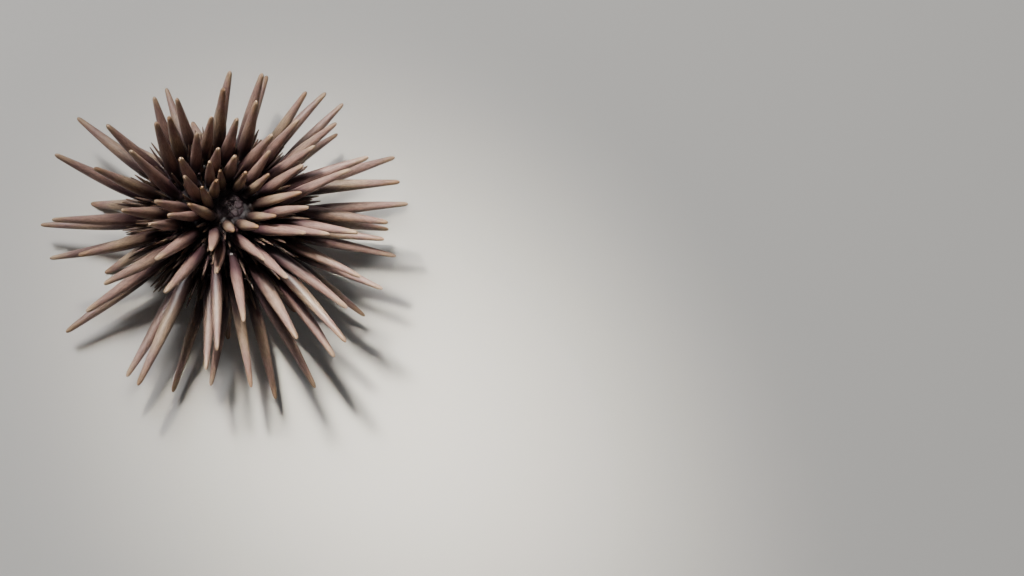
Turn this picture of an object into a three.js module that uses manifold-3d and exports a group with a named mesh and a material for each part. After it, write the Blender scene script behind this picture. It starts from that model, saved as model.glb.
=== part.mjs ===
// Purple sea urchin, life size, resting mouth down on the tips of its lower spines.
// Units are millimetres and +Z is up. The origin is on the floor, under the middle of the whole animal.
// The shell is parted, as the animal's is, into five tube-foot zones (ambulacra) and five spine zones
// (interambulacra), with the apical disc on top and the mouth skin and teeth below.
import * as THREE from "three";
import { mergeVertices } from "three/addons/utils/BufferGeometryUtils.js";
import Module from "manifold-3d";

const wasm = await Module();
wasm.setup();

// Shell: a low dome, a little longer than wide, with a flatter underside.
const SHELL_LENGTH = 37;
const SHELL_WIDTH = 34.5;
const CROWN_RISE = 12; // from the widest level up to the apex
const BELLY_DROP = 7.5; // from the widest level down to the mouth side
const WIDEST_HEIGHT = 14.5; // the widest level above the floor
const CROWN_POWER = 2.1; // superellipse powers: 2 is an ellipse, more is boxier
const BELLY_POWER = 2.7;
const SHELL_SIDES = 40;
const SHELL_RINGS = 15;

// Zones: ten sectors, five wide and five narrow, parted by thin cuts.
const SECTORS = 5;
const SECTOR_TURN = 14; // degrees from +X to the middle of the first wide zone
const WIDE_HALF = 20.5; // half-angles in degrees
const NARROW_HALF = 15.5;
const CUT = 0.3;

// Apical disc and mouth.
const APICAL_RADIUS = 3.2;
const APICAL_DEPTH = 1.8;
const MOUTH_RADIUS = 7;
const MOUTH_DEPTH = 2.2;
const LIP_RADIUS = 2.6;

// Primary spines: stout, thickest a third of the way up, with blunt points.
const SPINE_LENGTH = 31.5; // the longest, round the widest level
const SPINE_RADIUS = 1.75; // of the longest, at its thickest
const SPINE_SIDES = 6;
const ROW_STEP = 5.3; // between spines of one column, along the shell
const FIRST_ROW = 1.7; // from the edge of the apical disc to the first spine
const LAST_ROW = 1.6; // from the last spine to the edge of the mouth skin
const NARROW_SIZE = 0.9; // spines of the narrow zones against those of the wide ones
const ENDS_POWER = 0.75; // how fast spines shorten towards the top and the mouth
const ENDS_RADIUS = 0.6; // radius at the very ends, against that at the widest level
const LENGTH_VARIES = 0.07;
const RADIUS_VARIES = 0.05;
const ROOT_DEPTH = 1.5;
const SPLAY_UP = 0.75; // how far an upper spine leans from the shell's normal to straight out from the middle
const SPLAY_DOWN = 0.35;
const SCATTER = 3; // degrees that a spine strays from its row
const FAN = 5; // degrees that the rows of a column turn aside, one to the left and the next to the right

// Secondary spines: short and thin, spread evenly where the primaries leave room.
const SMALL_LENGTH = 7.5;
const SMALL_RADIUS = 0.66;
const SMALL_SIDES = 3;
const SMALL_COUNT = 740; // places on the whole shell, most of which are too near a primary
const SMALL_FULL = 0.5; // share of the length where the taper to the point starts
const SMALL_WAIST = 0.9; // radius there
const SMALL_VARIES = 0.25;
const GOLDEN_TURN = Math.PI * (3 - Math.sqrt(5)); // between one place of the spiral and the next

const SPINE_GAP = 0.45; // least room between neighbouring primaries
const SMALL_GAP = 0.3; // and between a primary and a secondary

// Pose: on one side the spines are raised and folded in, as beside the wall of a hollow.
const RAISED_BEARING = 112; // degrees from +X to the middle of that side
const RAISED_SPREAD = 105; // degrees to either side of it
const RAISED_LIFT = 46; // degrees, for a level spine
const RAISED_SHORTER = 0.24;
const RAISED_FADE = 0.35; // a spine that points down more steeply than this keeps its place

// Where the photo shows the tips of its clearest spines, as [across, up] in the picture's plane, from the
// middle of the widest level. The camera looks steeply down, from the near left side.
const CAMERA_TILT = 17; // degrees between the line of sight and straight down
const CAMERA_BEARING = 233; // degrees from +X to the side it stands on
const CAMERA_DISTANCE = 381;
const SEEN_TIPS = [
  [47.5, 8.3], [49.1, 3.8], [34, 13], [39, 16.4], [44.6, -1.3], [45.8, -10.3], [41.3, -18.7],
  [34.5, -25.5], [32.3, -32.8], [28.9, -36.7], [24.9, -46.8], [13.7, -48], [7.5, -46.8],
  [-1.5, -35.6], [-3.2, -45.2], [-13, -46.3], [-24.6, -41.8], [-22.3, -46.8], [-34.1, -24.3],
  [-30.2, -17.6], [-18.4, -2], [-8.8, 3.6], [-25.1, 1.6], [13.1, 21.8], [24.4, 19], [-0.4, 12.3],
  [20.9, 6.7], [21.8, -4.2], [11, -11.3], [-1.6, -14.7], [-14.7, -19.8], [9, 30.2],
];
const MOST_LEAN = 26; // degrees that a spine turns to reach such a place
const MOST_STRETCH = 1.15; // and how much longer it may be

const radians = THREE.MathUtils.degToRad;
const wrapped = (angle, half) => THREE.MathUtils.euclideanModulo(angle + half, 2 * half) - half;
const UP = new THREE.Vector3(0, 0, 1);
const ambitusCentre = new THREE.Vector3(0, 0, WIDEST_HEIGHT);

// The same number from -1 to 1 each time for the same two whole numbers.
function stray(item, aspect) {
  const wave = Math.sin(item * 12.9898 + aspect * 78.233) * 43758.5453;
  return 2 * (wave - Math.floor(wave)) - 1;
}

// Shell surface. polar runs from 0 at the apex to PI at the mouth.
function shellPoint(polar, azimuth) {
  const upper = polar < Math.PI / 2;
  const power = 2 / (upper ? CROWN_POWER : BELLY_POWER);
  const reach = Math.sin(polar) ** power;
  const lift = (upper ? CROWN_RISE : -BELLY_DROP) * Math.abs(Math.cos(polar)) ** power;
  return new THREE.Vector3(
    (reach * SHELL_LENGTH * Math.cos(azimuth)) / 2,
    (reach * SHELL_WIDTH * Math.sin(azimuth)) / 2,
    WIDEST_HEIGHT + lift,
  );
}

function shellNormal(point) {
  const height = point.z - WIDEST_HEIGHT;
  const power = height >= 0 ? CROWN_POWER : BELLY_POWER;
  const rise = height >= 0 ? CROWN_RISE : BELLY_DROP;
  const x = (2 * point.x) / SHELL_LENGTH;
  const y = (2 * point.y) / SHELL_WIDTH;
  const side = Math.hypot(x, y) ** (power - 2);
  const up = Math.sign(height) * (Math.abs(height) / rise) ** (power - 1);
  const across = (side * y * 2) / SHELL_WIDTH;
  return new THREE.Vector3((side * x * 2) / SHELL_LENGTH, across, up / rise).normalize();
}

// One meridian in small steps, so that rows can be spaced by the distance along the shell.
const MERIDIAN_STEPS = 360;
const meridian = [{ polar: 0, arc: 0, radius: 0 }];
for (let step = 1; step <= MERIDIAN_STEPS; step++) {
  const polar = (Math.PI * step) / MERIDIAN_STEPS;
  const point = shellPoint(polar, Math.PI / 4);
  const before = shellPoint((Math.PI * (step - 1)) / MERIDIAN_STEPS, Math.PI / 4);
  const arc = meridian[step - 1].arc + point.distanceTo(before);
  meridian.push({ polar, arc, radius: Math.hypot(point.x, point.y) });
}
const polarAtArc = (arc) => meridian.find((mark) => mark.arc >= arc).polar;
const apicalEdge = meridian.find((mark) => mark.radius >= APICAL_RADIUS).arc;
const mouthEdge = meridian.findLast((mark) => mark.radius >= MOUTH_RADIUS).arc;

// Zones, in order round the shell.
const WIDE = { kind: "wide", half: WIDE_HALF, size: 1 };
const NARROW = { kind: "narrow", half: NARROW_HALF, size: NARROW_SIZE };
const zones = [];
for (let sector = 0; sector < SECTORS; sector++) {
  const middle = SECTOR_TURN + (sector * 360) / SECTORS;
  zones.push({ ...WIDE, name: `interambulacrum_${sector + 1}`, middle });
  zones.push({ ...NARROW, name: `ambulacrum_${sector + 1}`, middle: middle + 180 / SECTORS });
}

// How far a spine at that bearing is raised, from 0 to 1.
function raisedShare(point) {
  const bearing = THREE.MathUtils.radToDeg(Math.atan2(point.y, point.x));
  const away = Math.abs(wrapped(bearing - RAISED_BEARING, 180));
  return away < RAISED_SPREAD ? Math.cos((away / RAISED_SPREAD) * (Math.PI / 2)) ** 2 : 0;
}

// A spine stands between the shell's normal and the line straight out from the middle.
function restDirection(base, item, fan) {
  const normal = shellNormal(base);
  const outward = base.clone().sub(ambitusCentre).normalize();
  const splay = base.z >= WIDEST_HEIGHT ? SPLAY_UP : SPLAY_DOWN;
  const direction = normal.lerp(outward, splay).normalize();
  direction.applyAxisAngle(UP, radians(fan));
  const sideways = new THREE.Vector3(base.y, -base.x, 0).normalize();
  const level = Math.hypot(direction.x, direction.y);
  const above = THREE.MathUtils.clamp(1 + direction.z / RAISED_FADE, 0, 1);
  direction.applyAxisAngle(sideways, radians(RAISED_LIFT) * raisedShare(base) * level * above);
  const strayed = new THREE.Vector3(stray(item, 1), stray(item, 2), stray(item, 3));
  return direction.addScaledVector(strayed, Math.sin(radians(SCATTER))).normalize();
}

// Primary spines: two columns in each zone, the second half a step further down.
const primaries = [];
for (const zone of zones) {
  for (const side of [-1, 1]) {
    const azimuth = radians(zone.middle + (side * zone.half) / 2);
    const first = apicalEdge + FIRST_ROW + (side > 0 ? ROW_STEP / 2 : 0);
    let fan = side * FAN;
    for (let arc = first; arc < mouthEdge - LAST_ROW; arc += ROW_STEP) {
      const item = primaries.length + 1;
      const base = shellPoint(polarAtArc(arc), azimuth);
      const direction = restDirection(base, item, fan);
      fan = -fan;
      const outward = base.clone().sub(ambitusCentre).normalize();
      const share = Math.hypot(outward.x, outward.y) ** ENDS_POWER;
      const raised = 1 - RAISED_SHORTER * raisedShare(base);
      const stoutness = ENDS_RADIUS + (1 - ENDS_RADIUS) * share;
      primaries.push({
        zone: zone.name,
        base,
        direction,
        length: SPINE_LENGTH * zone.size * share * raised * (1 + LENGTH_VARIES * stray(item, 4)),
        radius: SPINE_RADIUS * zone.size * stoutness * (1 + RADIUS_VARIES * stray(item, 5)),
        stiffness: 1,
      });
    }
  }
}

// The picture's axes. Its upright is as near to +Y as the line of sight allows.
const FACING = -0.15; // a spine that points further away from the camera than this shows no tip
const POSED = 5; // a posed spine gives way this many times less than a free one
const SLANT_SHARE = 2; // what a slant in the picture counts for, against the same turn in space
const SWAPPING_ROUNDS = 4;
const LEAST_SAVING = 0.001;
const toCamera = new THREE.Vector3(0, 0, 1)
  .applyAxisAngle(new THREE.Vector3(0, 1, 0), radians(CAMERA_TILT))
  .applyAxisAngle(UP, radians(CAMERA_BEARING));
const pictureAcross = new THREE.Vector3(0, 1, 0).cross(toCamera).normalize();
const pictureUp = toCamera.clone().cross(pictureAcross);

// A place of the picture, in its own two directions, and how far round it lies.
const bearingFrom = (point, across, up) =>
  Math.atan2(up - point.dot(pictureUp), across - point.dot(pictureAcross));
const turnBetween = (a, b) => Math.abs(wrapped(a - b, Math.PI));

// From a spine's base to the point where its tip shows at that place of the picture, or nearest to it.
function reachTo(spine, across, up) {
  const tip = spine.base.clone().addScaledVector(spine.direction, spine.length).sub(ambitusCentre);
  const nearer = 1 - tip.dot(toCamera) / CAMERA_DISTANCE;
  const toLine = pictureAcross
    .clone()
    .multiplyScalar(across * nearer)
    .addScaledVector(pictureUp, up * nearer)
    .add(ambitusCentre)
    .sub(spine.base);
  const along = toLine.dot(toCamera);
  const beyond = Math.sqrt(Math.max(0, along ** 2 - toLine.lengthSq() + spine.length ** 2));
  const far = toLine.clone().addScaledVector(toCamera, -beyond - along);
  const near = toLine.addScaledVector(toCamera, beyond - along);
  return near.angleTo(spine.direction) < far.angleTo(spine.direction) ? near : far;
}

// How far a spine has to turn and stretch to show its tip there, and how far it then shows aslant to a ray
// from the middle.
function offerOf(place, spine) {
  const [across, up] = SEEN_TIPS[place];
  const reach = reachTo(spine, across, up);
  const root = spine.base.clone().sub(ambitusCentre);
  const slant = turnBetween(bearingFrom(root, across, up), Math.atan2(up, across));
  const stretch = Math.max(0, reach.length() / spine.length - 1);
  return { place, spine, reach, effort: reach.angleTo(spine.direction) + SLANT_SHARE * slant + stretch };
}

// Each place goes to the spine with the least effort, and each spine to one place.
const offers = [];
for (const spine of primaries.filter((one) => one.direction.dot(toCamera) > FACING)) {
  SEEN_TIPS.forEach((_, place) => offers.push(offerOf(place, spine)));
}
offers.sort((a, b) => a.effort - b.effort);
const taken = [];
for (const offer of offers) {
  if (taken.every((other) => other.place !== offer.place && other.spine !== offer.spine)) taken.push(offer);
}

// Two spines swap their places where both together then need less.
for (let round = 0; round < SWAPPING_ROUNDS; round++) {
  for (let first = 0; first < taken.length; first++) {
    for (let second = 0; second < first; second++) {
      const swapped = [
        offerOf(taken[second].place, taken[first].spine),
        offerOf(taken[first].place, taken[second].spine),
      ];
      const saving = taken[first].effort + taken[second].effort - swapped[0].effort - swapped[1].effort;
      if (saving > LEAST_SAVING) [taken[first], taken[second]] = swapped;
    }
  }
}
for (const { spine, reach } of taken) {
  spine.stiffness = POSED;
  const turn = reach.angleTo(spine.direction);
  spine.length = THREE.MathUtils.clamp(reach.length(), spine.length, spine.length * MOST_STRETCH);
  spine.direction.lerp(reach.normalize(), Math.min(1, radians(MOST_LEAN) / turn)).normalize();
}

// Shaft radius at a distance from the base: fullest a third of the way up, narrow at the tip.
const FULLEST = 0.32;
const NECK = 0.76;
const BLUNT_START = 0.94;
const BLUNT = 0.4;
function shaftRadius(spine, distance) {
  const share = distance / spine.length;
  const shape =
    share < FULLEST
      ? NECK + ((1 - NECK) * share) / FULLEST
      : 1 - ((1 - BLUNT) * (share - FULLEST)) / (BLUNT_START - FULLEST);
  return spine.radius * Math.max(shape, 0.1);
}

// The nearest places on two spines, as distances from their bases, and the vector between them.
function nearest(a, b) {
  const between = a.base.clone().sub(b.base);
  const cosine = a.direction.dot(b.direction);
  const alongA = between.dot(a.direction);
  const alongB = between.dot(b.direction);
  const spread = Math.max(1 - cosine ** 2, 1e-6);
  const onA = THREE.MathUtils.clamp((cosine * alongB - alongA) / spread, 0, a.length);
  const onB = THREE.MathUtils.clamp(cosine * onA + alongB, 0, b.length);
  const again = THREE.MathUtils.clamp(cosine * onB - alongA, 0, a.length);
  const offset = between.addScaledVector(a.direction, again).addScaledVector(b.direction, -onB);
  return { onA: again, onB, offset };
}

// Neighbouring spines that would cross turn away from each other, as the living ones do.
const SETTLING_ROUNDS = 60;
const BY_THE_ROOTS = 2; // spines this near to each other's roots stay as they grow
const LEAST_LEVER = 4; // so that a spine never turns far for a neighbour near its root
for (let round = 0; round < SETTLING_ROUNDS; round++) {
  primaries.forEach((a, index) => {
    for (const b of primaries.slice(index + 1)) {
      const { onA, onB, offset } = nearest(a, b);
      const apart = offset.length();
      const short = shaftRadius(a, onA) + shaftRadius(b, onB) + SPINE_GAP - apart;
      if (short <= 0 || onA + onB < BY_THE_ROOTS) continue;
      const push = offset.divideScalar(Math.max(apart, 1e-6));
      const ease = a.stiffness + b.stiffness;
      const turnA = (short * b.stiffness) / ease / Math.max(onA, LEAST_LEVER);
      const turnB = (short * a.stiffness) / ease / Math.max(onB, LEAST_LEVER);
      a.direction.addScaledVector(push, turnA).normalize();
      b.direction.addScaledVector(push, -turnB).normalize();
    }
  });
}

// A spine that points down ends just under the floor, where a level cut leaves a small flat.
const FLOOR_BITE = 0.5;
function reachingFloor(spine) {
  const fall = -spine.direction.z * spine.length;
  const room = spine.base.z + FLOOR_BITE;
  if (fall > room) spine.length *= room / fall;
  return spine;
}
primaries.forEach(reachingFloor);

// The zone at a bearing round the shell, and how far its nearer edge is from there, in degrees.
function zoneAt(azimuth) {
  const degrees = THREE.MathUtils.radToDeg(azimuth);
  for (const zone of zones) {
    const away = Math.abs(wrapped(degrees - zone.middle, 180));
    if (away < zone.half) return { name: zone.name, margin: zone.half - away };
  }
}

// Secondary spines stand on a spiral of even steps, clear of the bare ends, the cuts and the primaries.
const BARE = 0.9; // beyond the edge of the apical disc and of the mouth skin
const secondaries = [];
for (let index = 0; index < SMALL_COUNT; index++) {
  const item = 3000 + index;
  const polar = Math.acos(1 - (2 * (index + 0.5)) / SMALL_COUNT);
  const azimuth = index * GOLDEN_TURN;
  const base = shellPoint(polar, azimuth);
  const radius = SMALL_RADIUS * (1 + SMALL_VARIES * 0.4 * stray(item, 5));
  const fromAxis = Math.hypot(base.x, base.y);
  if (fromAxis < BARE + (base.z > WIDEST_HEIGHT ? APICAL_RADIUS : MOUTH_RADIUS)) continue;
  const zone = zoneAt(azimuth);
  if (fromAxis * Math.sin(radians(zone.margin)) < radius + CUT) continue;
  const spine = reachingFloor({
    zone: zone.name,
    base,
    direction: restDirection(base, item, 0),
    length: SMALL_LENGTH * (1 + SMALL_VARIES * stray(item, 4)),
    radius,
  });
  const clear = primaries.every((other) => {
    const { onA, onB, offset } = nearest(spine, other);
    return offset.length() > shaftRadius(spine, onA) + shaftRadius(other, onB) + SMALL_GAP;
  });
  if (clear) secondaries.push(spine);
}

// Closed geometry to a solid and back.
function solid(geometry) {
  const bare = geometry.index ? geometry.toNonIndexed() : geometry.clone();
  bare.deleteAttribute("normal");
  bare.deleteAttribute("uv");
  const merged = mergeVertices(bare, 1e-4);
  return new wasm.Manifold(
    new wasm.Mesh({
      numProp: 3,
      vertProperties: new Float32Array(merged.attributes.position.array),
      triVerts: new Uint32Array(merged.index.array),
    }),
  );
}

function geometryOf(body) {
  const mesh = body.getMesh();
  const geometry = new THREE.BufferGeometry();
  geometry.setAttribute("position", new THREE.BufferAttribute(mesh.vertProperties, mesh.numProp));
  geometry.setIndex(new THREE.BufferAttribute(mesh.triVerts, 1));
  geometry.computeVertexNormals();
  return geometry;
}

// A turned shape from [radius, height] points, with its axis along +Z.
function turned(profile, sides) {
  const points = profile.map(([radius, height]) => new THREE.Vector2(radius, height));
  return new THREE.LatheGeometry(points, sides).rotateX(Math.PI / 2);
}

function spineSolid(spine, sides) {
  const { length, radius } = spine;
  const profile = [
    [0, -ROOT_DEPTH],
    [radius * NECK, -ROOT_DEPTH],
    [radius, length * FULLEST],
    [radius * BLUNT, length * BLUNT_START],
    [0, length],
  ];
  const turn = new THREE.Quaternion().setFromUnitVectors(UP, spine.direction);
  const geometry = turned(profile, sides).applyQuaternion(turn);
  return solid(geometry.translate(spine.base.x, spine.base.y, spine.base.z));
}

// A small spine is a plain tapered point.
function smallSpineSolid(spine) {
  const profile = [
    [0, -ROOT_DEPTH],
    [spine.radius, -ROOT_DEPTH],
    [spine.radius * SMALL_WAIST, spine.length * SMALL_FULL],
    [0, spine.length],
  ];
  const turn = new THREE.Quaternion().setFromUnitVectors(UP, spine.direction);
  const geometry = turned(profile, SMALL_SIDES).applyQuaternion(turn);
  return solid(geometry.translate(spine.base.x, spine.base.y, spine.base.z));
}

// The whole shell, without spines.
function shellSolid() {
  const profile = [];
  for (let ring = 0; ring <= SHELL_RINGS; ring++) {
    const point = shellPoint(Math.PI * (1 - ring / SHELL_RINGS), 0);
    profile.push([ring === 0 || ring === SHELL_RINGS ? 0 : point.x, point.z]);
  }
  return solid(turned(profile, SHELL_SIDES).scale(1, SHELL_WIDTH / SHELL_LENGTH, 1));
}

// A sector of space between two upright planes, each set back from the zone's edge.
function sectorSolid(zone, setBack) {
  const half = radians(zone.half);
  const start = setBack / Math.sin(half);
  const far = SHELL_LENGTH;
  const outline = new THREE.Shape([
    new THREE.Vector2(start, 0),
    new THREE.Vector2(start + far * Math.cos(half), -far * Math.sin(half)),
    new THREE.Vector2(start + far * Math.cos(half), far * Math.sin(half)),
  ]);
  const depth = WIDEST_HEIGHT + CROWN_RISE + 10;
  const geometry = new THREE.ExtrudeGeometry(outline, { depth, bevelEnabled: false, steps: 1 });
  return solid(geometry.rotateZ(radians(zone.middle)).scale(1, SHELL_WIDTH / SHELL_LENGTH, 1));
}

function drum(radius, low, high, sides) {
  return solid(turned([[0, low], [radius, low], [radius, high], [0, high]], sides));
}

// The body that encloses the most, so that a scrap cut loose by a join is dropped.
function largest(body) {
  return body.decompose().sort((a, b) => b.volume() - a.volume())[0];
}

const apex = WIDEST_HEIGHT + CROWN_RISE;
const belly = WIDEST_HEIGHT - BELLY_DROP;
const DISC_SIDES = 30;
const VENT_SIDES = 10;
const bareShell = shellSolid()
  .subtract(drum(APICAL_RADIUS, apex - APICAL_DEPTH, apex + 5, DISC_SIDES))
  .subtract(drum(MOUTH_RADIUS, 0, belly + MOUTH_DEPTH, DISC_SIDES));
const underFloor = solid(new THREE.BoxGeometry(300, 300, 20).translate(0, 0, -10));

// A zone of the shell with its spines, none of which runs into the shell next door.
function zoneSolid(zone) {
  let body = bareShell.intersect(sectorSolid(zone, CUT / 2));
  for (const spine of primaries.filter((one) => one.zone === zone.name)) {
    body = body.add(spineSolid(spine, SPINE_SIDES));
  }
  for (const spine of secondaries.filter((one) => one.zone === zone.name)) {
    body = body.add(smallSpineSolid(spine));
  }
  const nextDoor = bareShell.subtract(sectorSolid(zone, -CUT / 2));
  return largest(body.subtract(nextDoor).subtract(underFloor));
}

// Apical disc: a low boss with five large plates, the sieve plate widest, round the vent.
const VENT_RADIUS = 0.5;
const DISC_CREST = 0.25; // above the shell's own apex
const DISC_SHOULDER = 0.6; // below it, at the disc's edge
const PLATE_RADIUS = 0.8;
const SIEVE_RADIUS = 0.95;
const PLATE_RISE = 0.55;
const PLATE_SIDES = 6;
function apicalSolid() {
  const edge = APICAL_RADIUS - CUT;
  const low = apex - APICAL_DEPTH + CUT;
  const ring = edge - SIEVE_RADIUS - CUT / 2;
  const boss = [
    [0, low],
    [edge, low],
    [edge, apex - DISC_SHOULDER],
    [ring, apex + DISC_CREST / 2],
    [0, apex + DISC_CREST],
  ];
  let body = solid(turned(boss, DISC_SIDES));
  for (let plate = 0; plate < SECTORS; plate++) {
    const size = plate === 0 ? SIEVE_RADIUS : PLATE_RADIUS;
    const pad = turned([[0, 0], [size, 0], [size * 0.8, PLATE_RISE], [0, PLATE_RISE]], PLATE_SIDES);
    pad.translate(ring, 0, apex - PLATE_RISE / 2).rotateZ(radians(SECTOR_TURN + (plate * 360) / SECTORS));
    body = body.add(solid(pad));
  }
  return largest(body.subtract(drum(VENT_RADIUS, apex - 0.4, apex + 2, VENT_SIDES)));
}

// Mouth skin: a soft ring that sags a little towards the lip.
function mouthSkinSolid() {
  const roof = belly + MOUTH_DEPTH - CUT;
  const edge = MOUTH_RADIUS - CUT;
  const ring = [
    [LIP_RADIUS, roof],
    [LIP_RADIUS, belly + 0.25],
    [LIP_RADIUS + 0.9, belly - 0.15],
    [edge - 1.5, belly + 0.55],
    [edge, belly + 0.5],
    [edge, roof],
    [LIP_RADIUS, roof],
  ];
  return solid(turned(ring, DISC_SIDES));
}

// Five chisel teeth that close to a point, on the end of the jaw.
const TOOTH_DROP = 1.6; // below the underside of the shell
const TOOTH_LENGTH = 3.15;
const TOOTH_HALF_WIDTH = 0.95;
const TOOTH_FLATNESS = 0.62;
const TOOTH_LEAN = 20; // degrees from upright, inwards
const TOOTH_FROM_AXIS = 1.35;
const JAW_SIDES = 20;
const bladeProfile = [
  [0, 0],
  [TOOTH_HALF_WIDTH, 0],
  [TOOTH_HALF_WIDTH * 0.8, TOOTH_LENGTH / 2],
  [TOOTH_HALF_WIDTH * 0.2, TOOTH_LENGTH * 0.98],
  [0, TOOTH_LENGTH],
];
function teethSolid() {
  const roof = belly + MOUTH_DEPTH - CUT;
  let body = drum(LIP_RADIUS - CUT, belly + 0.9, roof, JAW_SIDES);
  for (let tooth = 0; tooth < SECTORS; tooth++) {
    const blade = turned(bladeProfile, 4).scale(TOOTH_FLATNESS, 1, 1);
    blade.rotateX(Math.PI).rotateY(radians(TOOTH_LEAN));
    blade.translate(TOOTH_FROM_AXIS, 0, belly - TOOTH_DROP + TOOTH_LENGTH);
    blade.rotateZ(radians(SECTOR_TURN + (tooth * 360) / SECTORS));
    body = body.add(solid(blade));
  }
  return largest(body);
}

const spineFinish = { roughness: 0.55, metalness: 0 };
const finishes = {
  wide: new THREE.MeshStandardMaterial({ color: 0x6b474c, ...spineFinish }),
  narrow: new THREE.MeshStandardMaterial({ color: 0x5f3f47, ...spineFinish }),
  apical: new THREE.MeshStandardMaterial({ color: 0x3a2730, roughness: 0.6, metalness: 0 }),
  mouth: new THREE.MeshStandardMaterial({ color: 0x4a2f33, roughness: 0.7, metalness: 0 }),
  teeth: new THREE.MeshStandardMaterial({ color: 0xe6dfcf, roughness: 0.35, metalness: 0 }),
};

const urchin = new THREE.Group();
function place(name, body, finish) {
  const mesh = new THREE.Mesh(geometryOf(body), finish);
  mesh.name = name;
  urchin.add(mesh);
}
for (const zone of zones) place(zone.name, zoneSolid(zone), finishes[zone.kind]);
place("apical_disc", apicalSolid(), finishes.apical);
place("mouth_skin", mouthSkinSolid(), finishes.mouth);
place("teeth", teethSolid(), finishes.teeth);

// The origin comes under the middle of the whole.
const extent = new THREE.Box3().setFromObject(urchin);
const middle = extent.getCenter(new THREE.Vector3());
urchin.children.forEach((mesh) => mesh.position.set(-middle.x, -middle.y, 0));

export default urchin;
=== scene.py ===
# %% [markdown]
# # A purple sea urchin
#
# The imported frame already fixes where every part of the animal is, how large it is and how it rests.
# This lesson dresses that frame: one skin over the whole shell, about 130 stout primary spines, hundreds of
# small ones between them, the plates on top, and the mouth below. Lengths are worked out in millimetres,
# because that is how a person thinks about an animal that fits in a hand, and one helper turns them into
# Blender's metres at the very end.

# %% Frame
import math

import bpy
import numpy as np
from mathutils import Matrix, Quaternion, Vector


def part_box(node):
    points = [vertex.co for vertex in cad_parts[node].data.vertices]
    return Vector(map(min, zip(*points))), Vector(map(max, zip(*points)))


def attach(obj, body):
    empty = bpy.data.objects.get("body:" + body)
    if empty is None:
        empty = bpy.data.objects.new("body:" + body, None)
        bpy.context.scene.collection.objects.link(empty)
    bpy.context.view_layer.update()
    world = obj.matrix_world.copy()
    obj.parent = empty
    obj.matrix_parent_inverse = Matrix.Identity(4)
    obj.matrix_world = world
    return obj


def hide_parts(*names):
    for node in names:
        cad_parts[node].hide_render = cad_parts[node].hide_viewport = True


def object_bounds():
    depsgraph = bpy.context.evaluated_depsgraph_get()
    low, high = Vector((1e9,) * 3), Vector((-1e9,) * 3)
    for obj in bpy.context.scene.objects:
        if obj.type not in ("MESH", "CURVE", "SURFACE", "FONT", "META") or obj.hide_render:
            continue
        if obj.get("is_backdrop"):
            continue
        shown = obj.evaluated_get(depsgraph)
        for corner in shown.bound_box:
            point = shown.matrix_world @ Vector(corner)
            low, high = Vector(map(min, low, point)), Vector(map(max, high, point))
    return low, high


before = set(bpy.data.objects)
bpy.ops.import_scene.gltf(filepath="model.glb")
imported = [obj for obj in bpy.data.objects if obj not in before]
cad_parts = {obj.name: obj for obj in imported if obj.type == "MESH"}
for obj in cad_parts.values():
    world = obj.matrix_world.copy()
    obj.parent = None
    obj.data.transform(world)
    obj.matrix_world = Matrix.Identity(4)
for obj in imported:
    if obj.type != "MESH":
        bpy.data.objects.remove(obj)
cad_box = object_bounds()
print("nodes in the frame:", len(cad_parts))

# %% [markdown]
# ## From millimetres to the frame
#
# The frame's origin is on the floor under the middle of the animal's box, and the box is a little lopsided,
# as the spines are. The shell has its own upright axis, so the shapes below are worked out around that axis.
# The mouth skin is a ring round it, so the middle of the ring's box tells where the axis stands.

# %% Axis of the shell
MM = 0.001

low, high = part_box("mouth_skin")
AXIS = Vector(((low.x + high.x) / 2, (low.y + high.y) / 2, 0))


def in_metres(points_mm):
    """Points in millimetres round the shell's axis, as metres in the frame."""
    return np.asarray(points_mm, float) * MM + np.array(AXIS)


print("shell axis at", [round(value / MM, 3) for value in AXIS], "mm")

# %% [markdown]
# ## Camera
#
# The camera comes first, so that every later choice can be judged in its picture. It looks steeply down on
# the animal, which sits left of the middle. Turning the camera until a chosen direction lands on a chosen
# spot of the picture keeps straight lines straight, and needs no lens shift. Leaning the line of sight and
# then swinging it round the upright axis gives any side that the camera may stand on.

# %% Camera
PICTURE_WIDTH = 1024
PICTURE_HEIGHT = 576
LENS = 50.0  # mm
SENSOR = 36.0  # mm
ANIMAL_AT = (222, 217)  # the middle of the shell in the picture, in pixels from its upper left corner
CAMERA_TILT = 17.0  # degrees between the line of sight and straight down
CAMERA_BEARING = 233.0  # degrees from +X to the side that the camera stands on
CAMERA_DISTANCE = 381.0
WIDEST_HEIGHT = 14.5  # the shell's widest level above the floor

shell_middle = Vector((0, 0, WIDEST_HEIGHT))
to_camera = Vector((0, 0, 1))
to_camera.rotate(Quaternion((0, 1, 0), math.radians(CAMERA_TILT)))
to_camera.rotate(Quaternion((0, 0, 1), math.radians(CAMERA_BEARING)))
picture_across = Vector((0, 1, 0)).cross(to_camera).normalized()
picture_up = to_camera.cross(picture_across)


def make_camera():
    focal_pixels = PICTURE_WIDTH * LENS / SENSOR
    across = (ANIMAL_AT[0] - PICTURE_WIDTH / 2) / focal_pixels
    up = (PICTURE_HEIGHT / 2 - ANIMAL_AT[1]) / focal_pixels
    straight = Matrix((picture_across, picture_up, to_camera)).transposed()
    sideways = Vector((0, 0, -1)).rotation_difference(Vector((across, up, -1)))
    data = bpy.data.cameras.new("camera")
    data.lens = LENS
    data.sensor_width = SENSOR
    camera = bpy.data.objects.new("camera", data)
    bpy.context.scene.collection.objects.link(camera)
    camera.matrix_world = Matrix.Translation(
        Vector(in_metres(shell_middle + to_camera * CAMERA_DISTANCE))
    ) @ (straight @ sideways.to_matrix().inverted()).to_4x4()
    bpy.context.scene.camera = camera
    return camera


camera = make_camera()
print("camera at", [round(value, 3) for value in camera.matrix_world.translation])

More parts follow.
